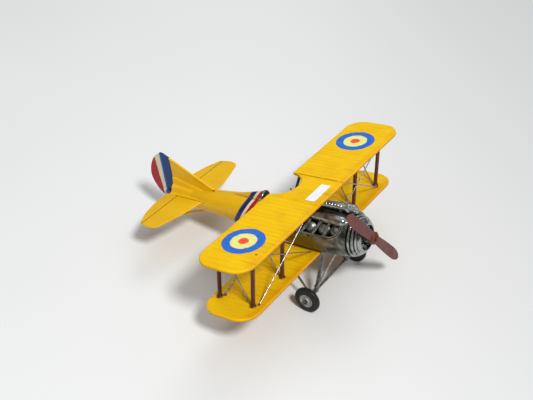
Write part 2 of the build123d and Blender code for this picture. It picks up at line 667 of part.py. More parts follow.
BLADE_ROOT_WIDTH = 7.0
with BuildPart() as propeller_blades:
    for turn in (0, 180):
        angle = math.radians(PROP_REST + turn)
        outward = Vector(0, math.cos(angle), math.sin(angle))
        across = Vector(0, -math.sin(angle), math.cos(angle))
        pitch = math.radians(BLADE_PITCH)
        chord_way = across * -math.cos(pitch) + Vector(math.sin(pitch), 0, 0)
        face_way = outward.cross(chord_way)
        blade_plane = Plane(origin=(PROP_X, 0, AXIS_Z), x_dir=outward, z_dir=face_way)
        with BuildSketch(blade_plane.offset(-BLADE_THICK / 2)):
            with BuildLine():
                Line((3, -BLADE_ROOT_WIDTH / 2), (3, BLADE_ROOT_WIDTH / 2))
                Spline((3, BLADE_ROOT_WIDTH / 2), (20, BLADE_WIDTH / 2 - 0.7), (40, BLADE_WIDTH / 2),
                       (56, BLADE_WIDTH / 2 - 1.2), (PROP_RADIUS, 0), (56, 1.2 - BLADE_WIDTH / 2),
                       (40, -BLADE_WIDTH / 2), (20, 0.7 - BLADE_WIDTH / 2), (3, -BLADE_ROOT_WIDTH / 2))
            make_face()
        extrude(amount=BLADE_THICK)
    with BuildSketch(Plane.YZ.offset(BOSS_REAR_X - 5)):
        with Locations((0, AXIS_Z)):
            RegularPolygon(BOSS_RADIUS, 8)
    extrude(amount=BOSS_LENGTH + 10, mode=Mode.SUBTRACT)
propeller_blades.part.label = "propeller_blades"
save(propeller_blades.part, "propeller_blades")

NUT_LENGTH = 2.2
boss_front_x = BOSS_REAR_X + BOSS_LENGTH
with BuildPart() as propeller_shaft:
    rod((COWL_FRONT_X + 0.6, 0, AXIS_Z), (boss_front_x + NUT_LENGTH, 0, AXIS_Z), SHAFT_RADIUS)
propeller_shaft.part.label = "propeller_shaft"
save(propeller_shaft.part, "propeller_shaft")

with BuildPart() as propeller_nut:
    with BuildSketch(Plane.YZ.offset(boss_front_x)):
        with Locations((0, AXIS_Z)):
            RegularPolygon(3.2, 6)
            Circle(SHAFT_RADIUS, mode=Mode.SUBTRACT)
    extrude(amount=NUT_LENGTH - 0.4)
propeller_nut.part.label = "propeller_nut"
save(propeller_nut.part, "propeller_nut")

# ----------------------------------------------------------------------- label
with BuildPart() as blank_label:
    with BuildSketch(Plane.XY.offset(upper_top_z)):
        with Locations((15.5, -4.5)):
            Rectangle(9.6, 29.6, rotation=0.6)
    extrude(amount=0.2)
blank_label.part.label = "blank_label"
save(blank_label.part, "blank_label")
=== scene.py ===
"""Looks of a painted sheet-metal biplane model, built round its CAD frame.

The plane is drawn level in millimetres, as its CAD is: +X to the nose, +Y to the
left wing tip, +Z up, origin in the middle of the upper wing. LEVEL turns that
drawing into the frame, where the plane stands nose-up on its wheels and skid.
"""
import json
import random
from math import atan2, copysign, cos, exp, pi, radians, sin, sqrt

import bmesh
import bpy
import numpy as np
from mathutils import Euler, Matrix, Vector


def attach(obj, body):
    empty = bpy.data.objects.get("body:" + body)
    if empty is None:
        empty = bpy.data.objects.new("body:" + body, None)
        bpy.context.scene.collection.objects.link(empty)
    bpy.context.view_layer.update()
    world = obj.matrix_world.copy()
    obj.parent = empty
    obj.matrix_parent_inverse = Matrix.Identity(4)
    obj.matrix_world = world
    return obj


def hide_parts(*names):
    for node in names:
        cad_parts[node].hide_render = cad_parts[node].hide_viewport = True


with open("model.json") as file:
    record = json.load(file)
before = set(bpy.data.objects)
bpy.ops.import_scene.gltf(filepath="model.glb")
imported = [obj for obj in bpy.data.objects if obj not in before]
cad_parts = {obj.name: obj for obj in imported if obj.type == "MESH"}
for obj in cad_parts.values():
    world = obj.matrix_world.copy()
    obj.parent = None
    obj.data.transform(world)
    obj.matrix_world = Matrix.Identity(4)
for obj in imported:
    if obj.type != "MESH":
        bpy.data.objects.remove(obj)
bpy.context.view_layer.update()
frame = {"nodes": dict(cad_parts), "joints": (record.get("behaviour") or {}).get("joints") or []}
random.seed(11)

# ---- level drawing, mm
MM = 0.001
MERGE_DISTANCE = 2e-6      # metres
SIDES = (("left", 1), ("right", -1))
AXIS_Z = -37.7             # fuselage and propeller axis
PROP_X = 67.0
PROP_RADIUS = 61.3
PROP_REST = 131.0          # blade direction seen from the front, degrees
BLADE_PITCH = 3.0
BLADE_WIDTH = 11.0

HALF_SPAN = 139.0
UPPER_CHORD = 55.5
LOWER_HALF_SPAN = 133.5
LOWER_CHORD = 54.0
LOWER_MID_X = -9.2
LOWER_Z = -55.8
WING_HALF_THICK = 1.4
TIP_RADIUS = 18.0
CUTOUT_X = -30.8
CUTOUT_RADIUS = 21.2
SEAM_Y = 21.0              # joint of the wing panels with the centre section

STRUT_Y = (110.9, 65.0)
STRUT_X = (7.2, -28.9)     # strut feet; the tops are a stagger further forward
STAGGER = 8.8
WHEEL = Vector((16.2, 44.5, -90.9))

ROUNDEL_X = -2.6
ROUNDEL_Y = 96.7
ROUNDEL_RADII = (19.3, 11.8, 4.7)

# Station along the body and its radius there.
BODY_STATIONS = [(-176, 3.0), (-165, 5.8), (-128, 10.7), (-88, 14.7), (-50, 18.6),
                 (-15, 21.8), (16, 23.4), (34, 22.5), (48.5, 21.0)]

spin = next(joint for joint in frame["joints"] if joint["name"] == "propeller_spin")
nose_up = atan2(spin["axis"][2], spin["axis"][0])
tilt = Matrix.Rotation(-nose_up, 4, "Y")
level_origin = Vector(spin["pos_m"]) - tilt @ Vector((PROP_X, 0, AXIS_Z)) * MM
LEVEL = Matrix.Translation(level_origin) @ tilt @ Matrix.Scale(MM, 4)


def hermite(t, span, start, end):
    """Cubic at the fraction t of a span whose ends are (value, slope) pairs."""
    return ((2 * t**3 - 3 * t**2 + 1) * start[0] + (t**3 - 2 * t**2 + t) * span * start[1]
            + (3 * t**2 - 2 * t**3) * end[0] + (t**3 - t**2) * span * end[1])


def body_radius(x):
    """Radius of the round body at a station, by smooth interpolation."""
    last = len(BODY_STATIONS) - 1

    def slope(i):
        a, b = BODY_STATIONS[max(i - 1, 0)], BODY_STATIONS[min(i + 1, last)]
        return (b[1] - a[1]) / (b[0] - a[0])

    k = next((i for i in range(last - 1) if x < BODY_STATIONS[i + 1][0]), last - 1)
    (x0, r0), (x1, r1) = BODY_STATIONS[k], BODY_STATIONS[k + 1]
    return hermite((x - x0) / (x1 - x0), x1 - x0, (r0, slope(k)), (r1, slope(k + 1)))


def on_body(x, z, side, proud=0.0):
    """Point on the body's side at a height, standing proud of the skin."""
    radius = body_radius(x) + proud
    return Vector((x, side * sqrt(max(radius**2 - (z - AXIS_Z)**2, 0)), z))


# ---- mesh shapes
# A shape is a pair (points, faces) in the level drawing.
def rings(loops, caps=True):
    """Skins a row of equal closed loops of points."""
    count = len(loops[0])
    points = [point for loop in loops for point in loop]
    faces = []
    for row in range(len(loops) - 1):
        for k in range(count):
            a, b = row * count + k, row * count + (k + 1) % count
            faces.append((a, b, b + count, a + count))
    if caps:
        faces.append(tuple(reversed(range(count))))
        faces.append(tuple(range((len(loops) - 1) * count, len(loops) * count)))
    return points, faces


def parts(count):
    """Fractions from 0 to 1 in so many equal steps."""
    return [i / count for i in range(count + 1)]


def turns(count, start=0.0):
    """Equal steps of a full turn, from so many steps after zero."""
    return [2 * pi * (i + start) / count for i in range(count)]


def radial(turn, reach=1.0):
    """Step away from the body axis, turned from the left side towards the top."""
    return Vector((0, reach * cos(turn), reach * sin(turn)))


def tube(path, radius, sides=10, closed=False):
    """A round bar of constant or varying radius along a path of points."""
    path = [Vector(point) for point in path]
    count = len(path)
    radii = radius if isinstance(radius, (list, tuple)) else [radius] * count
    normal = None
    loops = []
    for k, point in enumerate(path):
        before = path[k - 1] if k or closed else point
        after = path[(k + 1) % count] if k < count - 1 or closed else point
        along = (after - before).normalized()
        if normal is None:
            normal = along.orthogonal().normalized()
        normal = (normal - along * normal.dot(along)).normalized()
        side = along.cross(normal)
        loops.append([point + (normal * cos(turn) + side * sin(turn)) * radii[k]
                      for turn in turns(sides)])
    if closed:
        loops.append(loops[0])
    return rings(loops, caps=not closed)


def lathe(profile, origin, axis, count):
    """Turns a profile of (along, radius) pairs round an axis through origin."""
    origin, axis = Vector(origin), Vector(axis).normalized()
    u = axis.orthogonal().normalized()
    v = axis.cross(u)
    loops = [[origin + axis * along + (u * cos(turn) + v * sin(turn)) * max(radius, 0.001)
              for turn in turns(count)] for along, radius in profile]
    return rings(loops, caps=profile[0] != profile[-1])


def block(centre, half):
    """An upright box, given by half its size along each axis."""
    corners = [(-1, -1), (1, -1), (1, 1), (-1, 1)]
    return rings([[Vector(centre) + Vector((half[0] * a, half[1] * b, half[2] * level))
                   for a, b in corners] for level in (-1, 1)])


def dome(origin, axis, radius, height, count=16):
    """A round rivet head standing on origin."""
    profile = [(height * sin(pi / 2 * t), radius * cos(pi / 2 * t)) for t in parts(5)]
    return lathe([(-0.3, radius)] + profile, origin, axis, count)


def ridge(at, low, high, flank, width):
    """Stretch of a lathe profile that steps from one radius to another and back."""
    return [(at, low), (at + flank, high), (at + width - flank, high), (at + width, low)]


RELIEF_FADE = 2.0          # a sheet's relief dies out over this distance from its border


def plate(u_values, limits, relief, place, half_thick, edge_top, edge_low, across=30):
    """A closed sheet panel with rounded borders and a relief on its upper face.

    u runs from slice to slice, v across a slice between the two limits, and place
    turns (u, v, height) into a point."""
    u = np.array(u_values, float)
    low, high = np.array([limits(value) for value in u_values], float).T
    spread = (1 - np.cos(np.linspace(0, pi, across))) / 2
    v = low[:, None] + (high - low)[:, None] * spread
    border = np.concatenate([np.stack([u, low], 1), np.stack([u, high], 1)[::-1]])
    start, run = border, np.roll(border, -1, 0) - border
    grid = np.stack([np.broadcast_to(u[:, None], v.shape), v], -1).reshape(-1, 1, 2)
    length = np.maximum((run**2).sum(1), 1e-12)
    along = np.clip(((grid - start) * run).sum(-1) / length, 0, 1)
    depth = np.sqrt(((start + along[..., None] * run - grid)**2).sum(-1).min(1)).reshape(v.shape)

    def rise(edge):
        inner = np.maximum(edge - depth, 0)
        return half_thick - edge + np.sqrt(edge**2 - inner**2)

    swell = np.array([[relief(a, b) for b in row] for a, row in zip(u, v)])
    top = rise(edge_top) + swell * np.clip(depth / RELIEF_FADE, 0, 1)
    bottom = -rise(edge_low)
    loops = [[place(a, b, h) for b, h in zip(v_row, top_row)]
             + [place(a, b, h) for b, h in zip(v_row[::-1], low_row[::-1])]
             for a, v_row, top_row, low_row in zip(u, v, top, bottom)]
    return rings(loops)


def in_scene(name, data):
    """Puts an object with this data into the scene."""
    thing = bpy.data.objects.new(name, data)
    bpy.context.scene.collection.objects.link(thing)
    return thing


def add_piece(name, shapes, material, body="airframe", stands_for=(), sharp=35.0):
    """Makes one mesh object of several shapes and lets it ride on a body."""
    points, faces = [], []
    for shape_points, shape_faces in shapes:
        start = len(points)
        points += [LEVEL @ Vector(point) for point in shape_points]
        faces += [tuple(index + start for index in face) for face in shape_faces]
    mesh = bpy.data.meshes.new(name)
    mesh.from_pydata(points, [], faces)
    mesh.materials.append(material)
    piece = in_scene(name, mesh)
    tidy_mesh(mesh)
    mesh.shade_smooth()
    mesh.set_sharp_from_angle(angle=radians(sharp))
    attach(piece, body)
    if stands_for:
        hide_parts(*stands_for)


def tidy_mesh(mesh):
    """Joins doubled points and turns all faces outward."""
    work = bmesh.new()
    work.from_mesh(mesh)
    bmesh.ops.remove_doubles(work, verts=work.verts, dist=MERGE_DISTANCE)
    bmesh.ops.recalc_face_normals(work, faces=work.faces)
    work.to_mesh(mesh)
    work.free()


# ---- materials
class Finish:
    """One procedural material, whose coordinates are level millimetres."""

    def __init__(self, name):
        self.material = bpy.data.materials.new(name)
        self.material.use_nodes = True
        self.nodes = self.material.node_tree.nodes
        self.links = self.material.node_tree.links
        self.surface = self.nodes["Principled BSDF"]
        source = self.nodes.new("ShaderNodeTexCoord")
        mapping = self.nodes.new("ShaderNodeMapping")
        mapping.vector_type = "TEXTURE"
        mapping.inputs["Location"].default_value = LEVEL.to_translation()
        mapping.inputs["Rotation"].default_value = LEVEL.to_euler()
        mapping.inputs["Scale"].default_value = (MM, MM, MM)
        self.links.new(source.outputs["Object"], mapping.inputs["Vector"])
        self.place = mapping.outputs["Vector"]
        split = self.nodes.new("ShaderNodeSeparateXYZ")
        self.links.new(self.place, split.inputs["Vector"])
        self.x, self.y, self.z = split.outputs

    def feed(self, value, socket):
        if isinstance(value, bpy.types.NodeSocket):
            self.links.new(value, socket)
        elif isinstance(value, tuple):
            socket.default_value = (*value, 1.0)
        else:
            socket.default_value = value

    def math(self, operation, a, b=0.0, c=0.0):
        node = self.nodes.new("ShaderNodeMath")
        node.operation = operation
        for value, socket in zip((a, b, c), node.inputs):
            self.feed(value, socket)
        return node.outputs["Value"]

    def times(self, a, b):
        return self.math("MULTIPLY", a, b)

    def plus(self, a, b):
        return self.math("ADD", a, b)

    def minus(self, a, b):
        return self.math("SUBTRACT", a, b)

    def scaled(self, value, factor, added):
        return self.math("MULTIPLY_ADD", value, factor, added)

    def distance(self, x, y, place):
        """How far (x, y) is from a place in the same plane."""
        off_x, off_y = self.minus(x, place[0]), self.minus(y, place[1])
        return self.math("SQRT", self.plus(self.times(off_x, off_x), self.times(off_y, off_y)))

    def noise(self, size, detail, stretch=(1, 1, 1)):
        """Noise from 0 to 1 whose features are about size millimetres across."""
        scaled = self.nodes.new("ShaderNodeMapping")
        scaled.inputs["Scale"].default_value = stretch
        self.links.new(self.place, scaled.inputs["Vector"])
        node = self.nodes.new("ShaderNodeTexNoise")
        node.inputs["Scale"].default_value = 1.0 / size
        node.inputs["Detail"].default_value = detail
        node.inputs["Roughness"].default_value = 0.55
        self.links.new(scaled.outputs["Vector"], node.inputs["Vector"])
        return node.outputs["Fac"]

    def ramp(self, value, low, high):
        """0 below low and 1 above high, or the other way round if low > high."""
        node = self.nodes.new("ShaderNodeMapRange")
        node.interpolation_type = "SMOOTHSTEP"
        self.feed(value, node.inputs["Value"])
        flip = low > high
        limits = {"From Min": min(low, high), "From Max": max(low, high),
                  "To Min": float(flip), "To Max": float(not flip)}
        for name, value in limits.items():
            node.inputs[name].default_value = value
        return node.outputs["Result"]

    def mix(self, amount, a, b):
        node = self.nodes.new("ShaderNodeMix")
        node.data_type = "RGBA"
        self.feed(amount, node.inputs["Factor"])
        self.feed(a, node.inputs[6])
        self.feed(b, node.inputs[7])
        return node.outputs[2]

    def over(self, colour, paint, mask, amount):
        """The colour with so much of a paint over it where the mask is 1."""
        return self.mix(self.times(mask, amount), colour, paint)

    def crevice(self, reach):
        """0 in corners narrower than reach millimetres, 1 in the open."""
        node = self.nodes.new("ShaderNodeAmbientOcclusion")
        node.samples = 6
        node.inputs["Distance"].default_value = reach * MM
        return node.outputs["AO"]

    def relief(self, height, strength):
        """Bump whose height is in millimetres."""
        node = self.nodes.new("ShaderNodeBump")
        node.inputs["Strength"].default_value = strength
        node.inputs["Distance"].default_value = MM
        self.feed(height, node.inputs["Height"])
        self.links.new(node.outputs["Normal"], self.surface.inputs["Normal"])

    def done(self, colour, roughness, metallic=0.0, coat=0.0, specular=0.5):
        self.feed(colour, self.surface.inputs["Base Color"])
        self.feed(roughness, self.surface.inputs["Roughness"])
        self.feed(metallic, self.surface.inputs["Metallic"])
        self.surface.inputs["Coat Weight"].default_value = coat
        self.surface.inputs["Coat Roughness"].default_value = 0.25
        self.surface.inputs["Specular IOR Level"].default_value = specular
        return self.material


YELLOW = (0.84, 0.515, 0.002)
DEEP_YELLOW = (0.66, 0.345, 0.002)
RUST = (0.22, 0.075, 0.012)


def aged_yellow(mat, light=YELLOW, deep=DEEP_YELLOW):
    """Hand-brushed yellow: cloudy tone, fine streaks and small rusty specks."""
    clouds = mat.ramp(mat.noise(26, 4), 0.35, 0.75)
    streaks = mat.ramp(mat.noise(5, 5, (0.12, 1, 1)), 0.5, 0.8)
    specks = mat.ramp(mat.noise(1.6, 2), 0.73, 0.82)
    colour = mat.over(light, deep, clouds, 0.45)
    colour = mat.over(colour, deep, streaks, 0.28)
    return mat.over(colour, RUST, specks, 0.35)


def brushed_relief(mat):
    """Shallow unevenness of brushed paint on hand-beaten sheet."""
    beaten = mat.times(mat.noise(9, 2), 0.22)
    mat.relief(mat.scaled(mat.noise(1.1, 3, (0.5, 1, 1)), 0.035, beaten), 0.7)


def wing_paint(name, mid_z, front_x, roundels=False, feet=False):
    """Yellow wing, scratched along the chord, with a worn front edge and a darker orange rim on its
    edge faces that is partly rubbed paint and partly painted shade.

    The upper wing has roundels and dirt in the joints of its panels, and the lower wing is darker
    brown round the strut feet."""
    mat = Finish(name)
    colour = aged_yellow(mat)
    scratches = mat.ramp(mat.noise(1.5, 2, (0.035, 1, 1)), 0.56, 0.70)
    patches = mat.ramp(mat.noise(17, 3), 0.38, 0.62)
    colour = mat.over(colour, (0.42, 0.17, 0.002), mat.times(scratches, patches), 0.5)
    span_y = mat.math("ABSOLUTE", mat.y)
    height = mat.minus(mat.z, mid_z)
    wobble = mat.noise(3.5, 3)
    near_front = mat.scaled(mat.noise(14, 3), 16, mat.x)
    worn_front = mat.ramp(near_front, front_x - 5, front_x + 10)
    colour = mat.over(colour, (0.56, 0.20, 0.002), worn_front, 0.55)
    # The lower wing turns darker brown round each strut foot.
    for foot_y in STRUT_Y if feet else ():
        for foot_x in STRUT_X:
            away = mat.distance(mat.x, span_y, (foot_x, foot_y))
            darker_round_foot = mat.ramp(mat.scaled(mat.noise(2.5, 3), 5, away), 7.4, 4.6)
            colour = mat.over(colour, (0.16, 0.055, 0.008), darker_round_foot, 0.7)
    # Darker orange on the edge faces: partly rubbed paint, partly painted shade.
    colour = mat.over(colour, (0.56, 0.22, 0.006), mat.ramp(height, 0.9, -0.6), 0.6)
    chipped = mat.times(mat.ramp(height, -0.5, -1.1), mat.ramp(wobble, 0.42, 0.6))
    colour = mat.over(colour, RUST, chipped, 0.75)
    if roundels:
        from_seam = mat.math("ABSOLUTE", mat.minus(span_y, SEAM_Y - 0.9))
        grime = mat.times(mat.ramp(from_seam, 0.75, 0.1), mat.ramp(wobble, 0.3, 0.5))
        colour = mat.over(colour, (0.25, 0.10, 0.01), grime, 0.7)
        reach = mat.distance(mat.x, span_y, (ROUNDEL_X, ROUNDEL_Y))
        reach = mat.scaled(mat.noise(6, 2), 0.9, reach)
        above = mat.ramp(height, 0.4, 0.7)
        patchy = mat.ramp(mat.noise(4, 4), 0.35, 0.7)
        blue = mat.mix(patchy, (0.022, 0.125, 0.52), (0.035, 0.165, 0.60))
        cream = mat.mix(patchy, (0.80, 0.78, 0.24), (0.72, 0.70, 0.26))
        red = mat.mix(patchy, (0.90, 0.10, 0.035), (0.80, 0.075, 0.03))
        for radius, paint in zip(ROUNDEL_RADII, (blue, cream, red)):
            inside = mat.times(mat.ramp(reach, radius + 0.55, radius + 0.25), above)
            colour = mat.mix(inside, colour, paint)
    brushed_relief(mat)
    return mat.done(colour, mat.scaled(mat.noise(3, 3), 0.22, 0.36), specular=0.14)


def body_bands(mat, colour):
    """Navy, cream and red bands round the body behind the cockpit."""
    along = mat.scaled(mat.minus(mat.z, AXIS_Z), -0.6, mat.x)
    along = mat.scaled(mat.noise(4, 3), 0.7, along)
    bands = [(-76.9, (0.030, 0.060, 0.14)), (-75.6, (0.010, 0.016, 0.10)),
             (-71.0, (0.74, 0.60, 0.36)), (-67.8, (0.36, 0.008, 0.018)), (-63.2, colour)]
    for start, paint in bands:
        colour = mat.mix(mat.ramp(along, start, start + 0.35), colour, paint)
    return colour


def tail_bands(mat, colour):
    """Navy, cream and crimson bands of the tail, with brighter blue on the hinge."""
    place = mat.minus(mat.times(mat.noise(5, 3), 1.6), mat.x)
    worn = mat.ramp(mat.noise(1.1, 3), 0.62, 0.72)
    navy = mat.mix(worn, (0.016, 0.048, 0.17), (0.04, 0.07, 0.15))
    cream = mat.mix(worn, (0.66, 0.63, 0.42), (0.42, 0.33, 0.14))
    crimson = mat.mix(worn, (0.38, 0.014, 0.028), (0.28, 0.02, 0.02))
    colour = mat.mix(mat.ramp(place, 164.7, 165.1), colour, navy)
    on_hinge = mat.ramp(place, 175.4, 175.9)
    colour = mat.over(colour, (0.018, 0.115, 0.50), on_hinge, 0.85)
    colour = mat.mix(mat.ramp(place, 177.2, 177.6), colour, cream)
    slant = mat.scaled(mat.z, -0.085, place)
    return mat.mix(mat.ramp(slant, 184.4, 184.9), colour, crimson)


def body_finish(name):
    """Painted body that is rubbed down to bare pewter towards the nose."""
    mat = Finish(name)
    paint = aged_yellow(mat, (0.76, 0.43, 0.002), (0.60, 0.29, 0.002))
    # Dark olive over the lower front of the body: partly smoke staining, partly painted shade.
    smoke_and_shade = mat.ramp(mat.scaled(mat.noise(12, 3), 26, mat.x), -26, 6)
    smoke_and_shade = mat.times(smoke_and_shade, mat.ramp(mat.z, -28, -36))
    paint = mat.over(paint, (0.082, 0.054, 0.004), smoke_and_shade, 0.93)
    paint = tail_bands(mat, body_bands(mat, paint))
    from_nose = mat.scaled(mat.noise(9, 4), 16, mat.x)
    deck = mat.times(mat.ramp(mat.z, -35.6, -34.8), mat.ramp(mat.x, -4.5, -3.5))
    bare = mat.math("MAXIMUM", mat.ramp(from_nose, 18, 40), deck)
    tarnish = mat.ramp(mat.noise(7, 5), 0.35, 0.7)
    metal = mat.mix(tarnish, (0.235, 0.245, 0.215), (0.055, 0.057, 0.045))
    stain = mat.ramp(mat.scaled(mat.noise(11, 3), 14, mat.x), 50, 28)
    stain = mat.times(stain, mat.ramp(mat.z, -36, -46))
    metal = mat.over(metal, (0.19, 0.125, 0.045), stain, 0.5)
    # Painted shade: the bare metal grows darker towards the bottom.
    metal = mat.over(metal, (0.045, 0.042, 0.032), mat.ramp(mat.z, -38, -52), 0.55)
    # Painted shade darkens the upper deck of the bare metal, under the upper wing.
    shaded_deck = mat.times(mat.ramp(mat.z, -26, -21), mat.ramp(mat.x, 46, 38))
    metal = mat.over(metal, (0.022, 0.023, 0.020), shaded_deck, 0.72)
    shade = mat.ramp(mat.crevice(3.5), 0.25, 0.85)
    metal = mat.mix(shade, (0.012, 0.011, 0.009), metal)
    brushed_relief(mat)
    roughness = mat.scaled(mat.noise(4, 4), 0.25, 0.18)
    return mat.done(mat.mix(bare, paint, metal), roughness, mat.times(bare, 0.9),
                       specular=0.3)


def aged_pewter(name, bright=(0.33, 0.345, 0.33), dark=(0.095, 0.102, 0.092), roughness=0.20,
                reach=3.0):
    """Cast pewter with rubbed highlights and black patina left in the corners."""
    mat = Finish(name)
    metal = mat.mix(mat.ramp(mat.noise(5, 5), 0.38, 0.72), bright, dark)
    shade = mat.ramp(mat.crevice(reach), 0.30, 0.88)
    colour = mat.mix(shade, (0.016, 0.015, 0.013), metal)
    mat.relief(mat.times(mat.noise(3.2, 3), 0.16), 0.8)
    return mat.done(colour, mat.scaled(mat.noise(2.5, 3), 0.22, roughness - 0.06), 0.82)


def painted(name, light, dark, roughness=0.38, chips=RUST, chip_amount=0.5, size=6.0, bump=0.05):
    """Plain hand-brushed enamel in one colour, cloudy and slightly chipped."""
    mat = Finish(name)
    colour = mat.mix(mat.ramp(mat.noise(size, 4), 0.35, 0.7), light, dark)
    specks = mat.ramp(mat.noise(1.3, 3), 0.66, 0.76)
    colour = mat.over(colour, chips, specks, chip_amount)
    mat.relief(mat.times(mat.noise(1.4, 3), bump), 0.8)
    return mat.done(colour, mat.scaled(mat.noise(3, 3), 0.25, roughness - 0.1),
                       specular=0.25)


def tail_paint(name):
    """Fin and rudder: yellow, then navy, cream and crimson towards the rear."""
    mat = Finish(name)
    colour = tail_bands(mat, aged_yellow(mat, (0.80, 0.47, 0.002), (0.64, 0.32, 0.002)))
    brushed_relief(mat)
    return mat.done(colour, mat.scaled(mat.noise(3, 3), 0.2, 0.36), specular=0.28)


def plain_yellow(name, light, deep, groove_x=None):
    """Yellow paint of the tail and small parts, with painted shade browning its corners, and dirt in
    its groove.
    """
    mat = Finish(name)
    colour = aged_yellow(mat, light, deep)
    # Painted shade: brown where corners are narrower than 2 mm.
    shade = mat.ramp(mat.crevice(2.0), 0.35, 0.8)
    colour = mat.mix(shade, (0.30, 0.13, 0.01), colour)
    if groove_x is not None:
        away = mat.math("ABSOLUTE", mat.minus(mat.x, groove_x))
        colour = mat.mix(mat.ramp(away, 0.75, 0.2), colour, (0.16, 0.07, 0.01))
    brushed_relief(mat)
    return mat.done(colour, mat.scaled(mat.noise(3, 3), 0.2, 0.34), specular=0.28)


HINGE_X = -153.5           # line between each tailplane and its elevator

upper_wing_finish = wing_paint("upper_wing_yellow", 0, UPPER_CHORD / 2 + 4, roundels=True)
lower_wing_finish = wing_paint("lower_wing_yellow", LOWER_Z, LOWER_MID_X + LOWER_CHORD / 2,
                               feet=True)
shell_finish = body_finish("body_paint_and_metal")
tail_finish = tail_paint("tail_stripes")
tailplane_finish = plain_yellow("tailplane_yellow", (0.76, 0.45, 0.003), (0.62, 0.32, 0.003),
                                HINGE_X)
yellow_finish = plain_yellow("small_parts_yellow", (0.80, 0.47, 0.002), (0.64, 0.32, 0.002))
headrest_paint = Finish("headrest_stripes")
headrest_colour = aged_yellow(headrest_paint, (0.80, 0.42, 0.005), (0.62, 0.27, 0.003))
brushed_relief(headrest_paint)
headrest_finish = headrest_paint.done(body_bands(headrest_paint, headrest_colour), 0.4, coat=0.1)

pewter = aged_pewter("aged_pewter")
bright_pewter = aged_pewter("rubbed_pewter", (0.43, 0.45, 0.435), (0.13, 0.138, 0.125), 0.13, 2.0)
dark_pewter = aged_pewter("dark_pewter", (0.16, 0.16, 0.14), (0.045, 0.045, 0.038), 0.28, 4.0)
polished_pewter = aged_pewter("polished_pewter", (0.54, 0.57, 0.56), (0.20, 0.21, 0.20), 0.14, 1.8)
cylinder_metal = aged_pewter("cylinder_metal", (0.36, 0.39, 0.38), (0.15, 0.16, 0.155), 0.32, 2.6)
steel = aged_pewter("dull_steel", (0.27, 0.275, 0.26), (0.10, 0.10, 0.092), 0.26, 2.0)
wire_finish = aged_pewter("wire_metal", (0.42, 0.40, 0.41), (0.20, 0.19, 0.19), 0.26, 1.0)

strut_brown = painted("strut_brown", (0.115, 0.032, 0.018), (0.070, 0.020, 0.012))
propeller_brown = painted("propeller_brown", (0.150, 0.042, 0.034), (0.095, 0.028, 0.022), 0.42,
                          size=9)
boss_brown = painted("boss_brown", (0.150, 0.038, 0.018), (0.070, 0.020, 0.010), 0.32, size=4)
rivet_finish = painted("rivet_brown", (0.11, 0.028, 0.020), (0.06, 0.018, 0.012), 0.45)
line_finish = painted("engraved_line", (0.20, 0.085, 0.012), (0.11, 0.045, 0.010), 0.6)
hub_grey = painted("hub_grey", (0.34, 0.34, 0.32), (0.21, 0.21, 0.20), 0.36,
                   (0.05, 0.05, 0.045), 0.7, size=3)
tyre_finish = painted("tyre_black", (0.017, 0.018, 0.018), (0.009, 0.009, 0.009), 0.46,
                      (0.10, 0.09, 0.07), 0.3)
cockpit_finish = painted("cockpit_black", (0.030, 0.028, 0.026), (0.014, 0.013, 0.012), 0.5,
                         (0.08, 0.06, 0.04))
leather_finish = painted("pad_black", (0.035, 0.030, 0.028), (0.018, 0.015, 0.014), 0.5,
                         (0.07, 0.05, 0.04), bump=0.12)
label_finish = painted("label_paper", (0.86, 0.86, 0.87), (0.80, 0.80, 0.81), 0.42,
                       (0.62, 0.62, 0.62), 0.12, bump=0.01)

# ---- wings
RIB_PITCH = 5.7
UPPER_RIB_HEIGHT = 0.42
LOWER_RIB_HEIGHT = 0.20
RIB_WIDTH = 0.42
SEAM_DEPTH = 0.45
SEAM_WIDTH = 0.35
SLICE_GAP = 0.1            # slices closer together than this are dropped
WING_RIMS = (1.1, 0.4)     # rounding of the upper and the lower edge


def rib_places(start, end, height):
    """Span positions of the pressed ribs, a little uneven as on the real sheet."""
    places = []
    y = start
    while y < end:
        places.append((y + random.uniform(-0.6, 0.6), height * random.uniform(0.5, 1.1)))
        y += RIB_PITCH
    return places


def slices(ribs, start, end, extra=()):
    """Span positions for the slices: fine over the ribs, the tips and the extras."""
    values = {start, end, *extra}
    for y, _ in ribs:
        values |= {y + RIB_WIDTH * step for step in (-2, -1, -0.4, 0.4, 1, 2)}
    for tip in (start, end):
        inward = -copysign(TIP_RADIUS, tip) if abs(tip) > TIP_RADIUS * 2 else 0
        values |= {tip + inward * (1 - cos(pi / 2 * t)) for t in parts(14)}
    ordered = sorted(value for value in values if start <= value <= end)
    kept = [ordered[0]]
    for value in ordered[1:]:
        if value - kept[-1] > SLICE_GAP:
            kept.append(value)
    kept[-1] = end
    return kept


def tip_inset(y, half_span):
    """How far the rounded tip cuts into each side of the chord."""
    over = abs(y) - (half_span - TIP_RADIUS)
    return TIP_RADIUS - sqrt(TIP_RADIUS**2 - over**2) if over > 0 else 0.0


def rib_relief(ribs, seams=()):
    """Height over the plain sheet: raised at the ribs and sunk at the seams."""
    def relief(y, x):
        height = sum(h * exp(-((y - place) / RIB_WIDTH)**2)
                     for place, h in ribs if abs(y - place) < 2)
        return height - sum(SEAM_DEPTH * exp(-((y - seam) / SEAM_WIDTH)**2) for seam in seams)
    return relief


def upper_limits(y):
    inset = tip_inset(y, HALF_SPAN)
    rear = -UPPER_CHORD / 2 + inset
    if abs(y) < CUTOUT_RADIUS:
        rear = max(rear, CUTOUT_X + sqrt(CUTOUT_RADIUS**2 - y**2))
    return rear, UPPER_CHORD / 2 - inset


